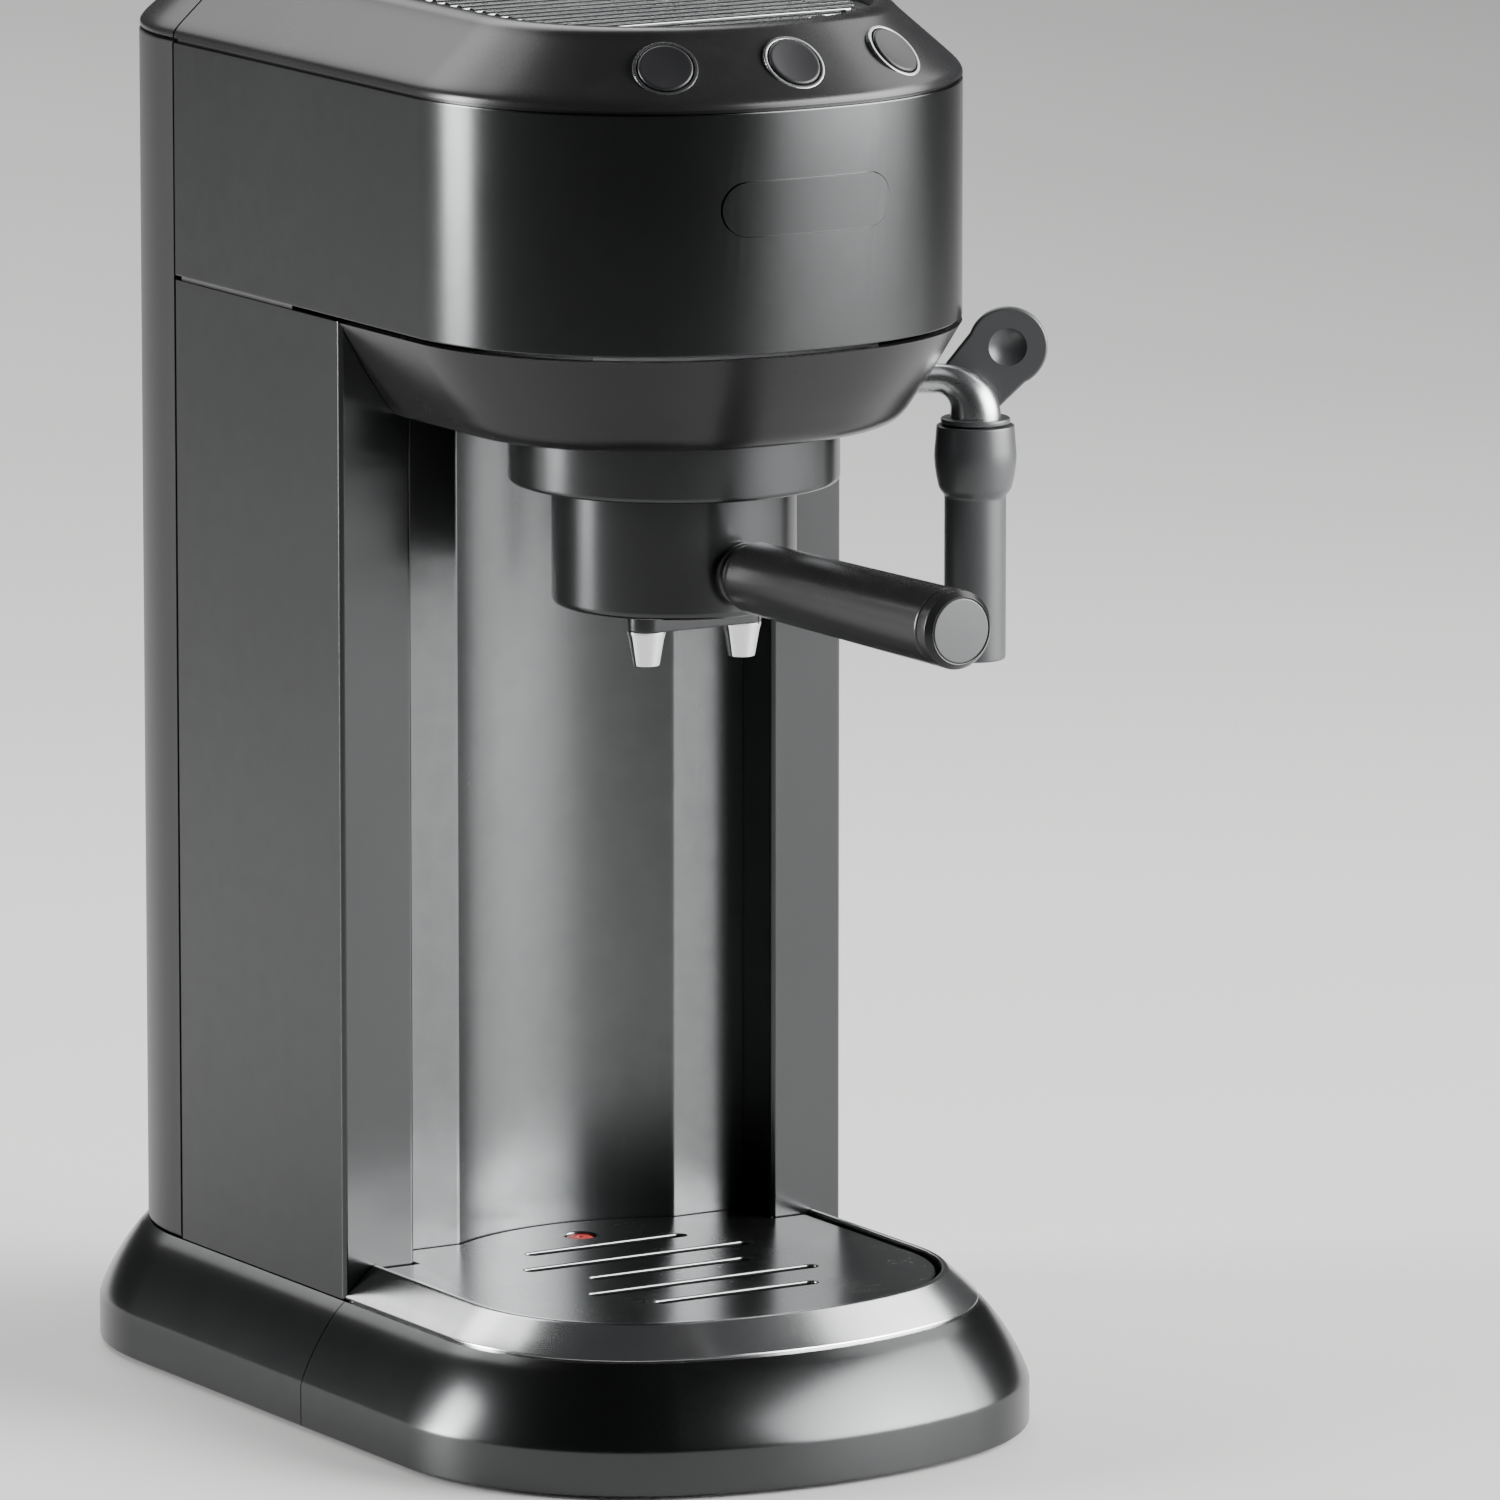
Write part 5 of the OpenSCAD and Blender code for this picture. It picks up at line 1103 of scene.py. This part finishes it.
def makeSpouts():
    lowZ = low("spout_pair").z / mm
    underZ = low("portafilter_body").z / mm
    height = underZ - 5 - lowZ
    spouts = []
    for side in (-1, 1):
        spout = turned(metres([(2.0, lowZ), (3.1, lowZ), (3.35, lowZ + 0.15), (3.45, lowZ + 0.45),
                               (4.6, lowZ + height * 0.78), (4.95, lowZ + height * 0.9), (5.0, lowZ + height * 0.96),
                               (5.0, lowZ + height + 0.02), (2.0, lowZ + height + 0.02)]), 64)
        spouts.append(moveTo(spout, Matrix.Translation((groupAxis.x + side * holder["spoutGap"] / 2 * mm,
                                                        groupAxis.y + holder["spoutY"] * mm, 0))))
    bar = slotBlock((holder["spoutGap"] + 10) * mm, 10 * mm,
                    (groupAxis.x, groupAxis.y + holder["spoutY"] * mm, (underZ - 5) * mm), 5 * mm)
    bevelEdges(bar, 0.5 * mm, 3, 50)
    neck = turned(metres([(1.8, underZ - 1), (2.9, underZ - 1), (2.9, underZ + 3.9), (1.8, underZ + 3.9)]), 40)
    moveTo(neck, Matrix.Translation((groupAxis.x, groupAxis.y + holder["spoutY"] * mm, 0)))
    finished(joined(spouts), "spoutTips", "portafilter", "chrome", "spout_pair", angle=35)
    finished(joined([bar, neck]), "spoutBridge", "portafilter", "satin_black_metal", "spout_pair", angle=35)


makeFlange()
makeHolder()
makeHandle()
makeSpouts()
print("brewing group made")


# Steam wand

def wandMatrix(offset=(0, 0, 0)):
    return (Matrix.Translation((wandAxis.x, wandAxis.y, wand["bendZ"] * mm)) @ Matrix.Rotation(wand["lean"], 4, "Z")
            @ Matrix.Translation(offset))


def makePipe():
    # Straight out of the head, then down through a swelling elbow
    radius, bend = wand["pipe"] * mm, wand["bend"] * mm
    sides = 48
    ring = ringOf([(-wand["inside"] * mm, radius * math.cos(2 * math.pi * i / sides),
                    radius * math.sin(2 * math.pi * i / sides)) for i in range(sides)])
    edit(ring)
    bpy.ops.mesh.extrude_region_move(TRANSFORM_OT_translate={"value": (wand["inside"] * mm - bend - 0.005, 0, 0)})
    bpy.ops.mesh.extrude_region_move(TRANSFORM_OT_translate={"value": (0.005, 0, 0)})
    steps = 20
    size = radius
    for i in range(1, steps + 1):
        bpy.ops.mesh.spin(steps=1, angle=spinSign * math.pi / 2 / steps, center=(-bend, 0, -bend), axis=(0, 1, 0))
        wanted = radius + (wand["elbow"] * mm - radius) * (1 - math.cos(math.pi * i / steps)) / 2
        turn = math.pi / 2 * i / steps
        middle = (-bend + bend * math.sin(turn), 0, -bend + bend * math.cos(turn))
        bpy.ops.transform.resize(value=(wanted / size,) * 3, center_override=middle)
        size = wanted
    objectMode()
    fillBoundary(ring)
    weld(ring)
    finished(moveTo(ring, wandMatrix()), "wandPipe", "steam_wand", "satin_pipe", "wand_pipe", angle=50)


def makeTab():
    radius, length, thick, tilt = 10.3, 15.0, 3.0, 48
    outline = [(0, -radius + 1.5), (length - 6, -radius + 0.9)]
    outline += [(length + radius * math.cos(a), radius * math.sin(a))
                for a in [math.radians(-112 + 224 * i / 40) for i in range(41)]]
    outline += [(length - 6, radius - 0.9), (0, radius - 1.5)]
    tab = prism(metres(outline), 0, thick * mm)
    bevelEdges(tab, 0.7 * mm, 4, 50)
    deselectAll()
    bpy.ops.mesh.primitive_uv_sphere_add(segments=72, ring_count=48, radius=7.4 * mm,
                                         location=(length * mm, 0, (thick + 5.5) * mm))
    combine(tab, bpy.context.object)
    lean = Matrix.Rotation(math.radians(-tilt), 4, "Y") @ Matrix.Rotation(math.pi / 2, 4, "X")
    place = wandMatrix((-1.5 * mm, (wand["elbow"] + 0.3) * mm, -4 * mm)) @ lean
    moveTo(tab, place @ Matrix.Translation((0, 0, (0.3 - thick) * mm)))
    collar = wand["collarZ"] * mm
    combine(tab, rod(12 * mm, (wandAxis.x, wandAxis.y, collar - 0.02), (wandAxis.x, wandAxis.y, collar + 0.0003), 64))
    finished(tab, "thumbTab", "steam_wand", "grey_plastic", "thumb_tab", angle=35)


def atWand(piece):
    return moveTo(piece, Matrix.Translation((wandAxis.x, wandAxis.y, 0)))


def makeWandEnd():
    z = wand["collarZ"]
    collar = turned(metres([(3.5, z - 7), (6.4, z - 7), (6.6, z - 6.8), (6.6, z - 1.5), (8.6, z - 1.5), (8.9, z - 1.35),
                            (9, z - 1.1), (9, z - 0.45), (8.9, z - 0.15), (8.6, z), (3.5, z)]), 96)
    finished(atWand(collar), "wandCollar", "steam_wand", "grey_plastic", "wand_collar", angle=40)
    lowNozzle, highNozzle = low("wand_nozzle").z / mm, high("wand_nozzle").z / mm
    nozzle = turned(metres([(1, lowNozzle), (2.2, lowNozzle), (3.0, lowNozzle + 0.5), (3.45, lowNozzle + 1.6),
                            (3.47, lowNozzle + 2.5), (3.47, highNozzle), (1, highNozzle)]), 64)
    finished(atWand(nozzle), "wandNozzle", "steam_wand", "steel", "wand_nozzle", angle=40)
    g = high("frother_sleeve").z / mm
    e = wand["sleeveLow"]
    r = wand["sleeve"]
    sleeve = turned(metres([(3.56, g - 6.0), (6.9, g - 6.0), (6.9, g), (9.6, g), (9.95, g - 0.12), (10.08, g - 0.45),
                            (10.3, g - 3.5), (10.55, g - 6.2), (10.65, g - 8.25), (10.5, g - 10.5), (10.1, g - 13.2),
                            (9.6, g - 15.6), (9.35, g - 16.4), (8.9, g - 17.2), (8.3, g - 17.9), (8.05, g - 18.4), (r, g - 19),
                            (r, e + 0.7), (r - 0.12, e + 0.25), (r - 0.5, e), (r - 1.8, e), (r - 2, e + 0.2),
                            (r - 2, e + 9), (3.56, e + 9)]), 96)
    finished(atWand(sleeve), "frotherSleeve", "frother", "grey_plastic", "frother_sleeve", angle=40)


makePipe()
makeTab()
makeWandEnd()
print("steam wand made")


# Knob, rocker and cable gland

def makeKnob():
    place = jointNamed("steam_knob_turn")["pos_m"]
    faceX = halfWidth + 0.8 * mm
    r, d = 18.0, 14.0
    knob = turned(metres([(0, -24), (2.8, -24), (3, -23.8), (3, 0), (r - 0.6, 0), (r - 0.15, 0.2), (r, 0.7), (r, d - 2.4),
                          (r - 0.2, d - 1.6), (r - 0.9, d - 0.6), (r - 1.9, d - 0.1), (r - 2.6, d), (r - 4.6, d),
                          (r - 5, d - 0.15), (r - 5.2, d - 0.6), (r - 5.5, d - 0.95), (r - 6, d - 1), (0, d - 1)]), 144)
    cutters = []
    for i in range(1, 18):
        angle = 2 * math.pi * i / 18
        x, y = (r + 1.2) * mm * math.cos(angle), (r + 1.2) * mm * math.sin(angle)
        cutters.append(rod(2 * mm, (x, y, 3 * mm), (x, y, 0.02), 24))
    combine(knob, joined(cutters))
    bevelEdges(knob, 0.3 * mm, 2, 50)
    moveTo(knob, Matrix.Translation((faceX, place[1], place[2])) @ Matrix.Rotation(math.pi / 2, 4, "Y"))
    finished(knob, "steamKnob", "steam_knob", "matte_black_plastic", "steam_knob", angle=35)


def makeRocker():
    finished(fromFrame("rocker_frame", 0.3 * mm, 3), "rockerFrame", "machine", "matte_black_plastic", "rocker_frame")
    finished(fromFrame("power_rocker", 0.4 * mm, 3), "powerRocker", "power_rocker", "black_plastic", "power_rocker")


def makeGland():
    lo, hi = low("cable_gland"), high("cable_gland")
    gland = turned(metres([(2.9, 0), (4.45, 0), (4.45, 12), (6.9, 12), (7, 12.3), (6.4, 13.4), (5.9, 14.2), (5.6, 14.5),
                           (3.4, 14.5), (2.9, 14.1)]), 64)
    moveTo(gland, along(((lo.x + hi.x) / 2, lo.y, (lo.z + hi.z) / 2), (0, 1, 0)))
    finished(gland, "cableGland", "machine", "soft_rubber", "cable_gland", angle=40)


makeKnob()
makeRocker()
makeGland()
print("knob, rocker and gland made")


# Everything inside keeps its frame part and only gets its finish

kept = {
    "inner_plastic": ["base_plate", "inner_frame", "tank_dock", "pump_mounts", "three_way_valve"],
    "soft_rubber": ["foot_ring", "group_gasket"],
    "seal_rubber": ["dock_seal"],
    "steel": ["head_shelf", "pump", "shower_screen", "screws", "filter_basket", "basket_spring", "lid_hinge_pins",
              "wand_socket", "steam_tube"],
    "aluminium": ["heating_block", "group_body"],
    "brass": ["thermostats", "steam_valve"],
    "hose_plastic": ["hoses", "tank_valve"],
    "circuit_board": ["control_board", "button_switches"],
}
for slot, nodes in kept.items():
    for node in nodes:
        for holderSlot in frame["nodes"][node].material_slots:
            holderSlot.material = finish(slot)
print("inner parts finished")


# Floor, light and camera

stage = {"floorSize": 14.0, "floorColour": (0.52, 0.515, 0.51, 1), "worldColour": (0.80, 0.82, 0.84, 1),
         "worldStrength": 0.075}
lights = {
    "windowLeft": {"place": (-1.96, 1.08, 0.6), "aim": (0, 0, 0.22), "size": (0.6, 1.5), "power": 27, "spread": 70},
    "panelRight": {"place": (1.52, -1.24, 0.85), "aim": (0, 0, 0.22), "size": (2.6, 1.6), "power": 82, "spread": 80},
    "skyRight": {"place": (1.5, 0.05, 1.45), "aim": (0, -0.05, 0.1), "size": (1.2, 1.0), "power": 3.5, "spread": 80},
    "overhead": {"place": (0.1, 2.0, 2.4), "aim": (0.1, 1.5, 0), "size": (3.0, 1.8), "power": 48, "spread": 140},
    "backFloor": {"place": (0.2, 3.4, 2.6), "aim": (0, 2.4, 0), "size": (3.5, 2.5), "power": 52, "spread": 140},
}
camera = {"target": (0.0488, -0.01635, 0.1652), "distance": 3.6496, "azimuth": -31.05, "elevation": 10.395,
          "lens": 335.7, "sensor": 36.0}


def makeStage():
    deselectAll()
    bpy.ops.mesh.primitive_plane_add(size=stage["floorSize"], location=(0, 0, 0))
    floor = bpy.context.object
    floor.name = "studioFloor"
    material = bpy.data.materials.new("paleFloor")
    material.use_nodes = True
    tree = material.node_tree
    shader = next(node for node in tree.nodes if node.type == "BSDF_PRINCIPLED")
    place = addNode(tree, "TexCoord").outputs["Object"]
    tone = mixColours(tree, noise(tree, place, 3.0, 3.0), stage["floorColour"],
                      tuple(part * 0.96 for part in stage["floorColour"][:3]) + (1,))
    tree.links.new(tone, shader.inputs["Base Color"])
    shader.inputs["Roughness"].default_value = 0.6
    floor.data.materials.append(material)
    world = bpy.data.worlds.new("studioWorld")
    bpy.context.scene.world = world
    world.use_nodes = True
    background = next(node for node in world.node_tree.nodes if node.type == "BACKGROUND")
    background.inputs["Color"].default_value = stage["worldColour"]
    background.inputs["Strength"].default_value = stage["worldStrength"]
    for name, values in lights.items():
        data = bpy.data.lights.new(name, "AREA")
        data.shape = "RECTANGLE"
        data.size, data.size_y = values["size"]
        data.energy = values["power"]
        data.spread = math.radians(values["spread"])
        lamp = bpy.data.objects.new(name, data)
        bpy.context.scene.collection.objects.link(lamp)
        lamp.location = values["place"]
        lamp.rotation_euler = (Vector(values["aim"]) - Vector(values["place"])).to_track_quat("-Z", "Y").to_euler()


def makeCamera():
    azimuth, elevation = math.radians(camera["azimuth"]), math.radians(camera["elevation"])
    away = Vector((math.sin(azimuth) * math.cos(elevation), -math.cos(azimuth) * math.cos(elevation),
                   math.sin(elevation)))
    data = bpy.data.cameras.new("studioCamera")
    data.lens = camera["lens"]
    data.sensor_width = camera["sensor"]
    data.clip_end = 50
    eye = bpy.data.objects.new("studioCamera", data)
    bpy.context.scene.collection.objects.link(eye)
    eye.location = Vector(camera["target"]) + away * camera["distance"]
    eye.rotation_euler = (-away).to_track_quat("-Z", "Y").to_euler()
    bpy.context.scene.camera = eye


makeStage()
makeCamera()
deselectAll()
print("stage made")
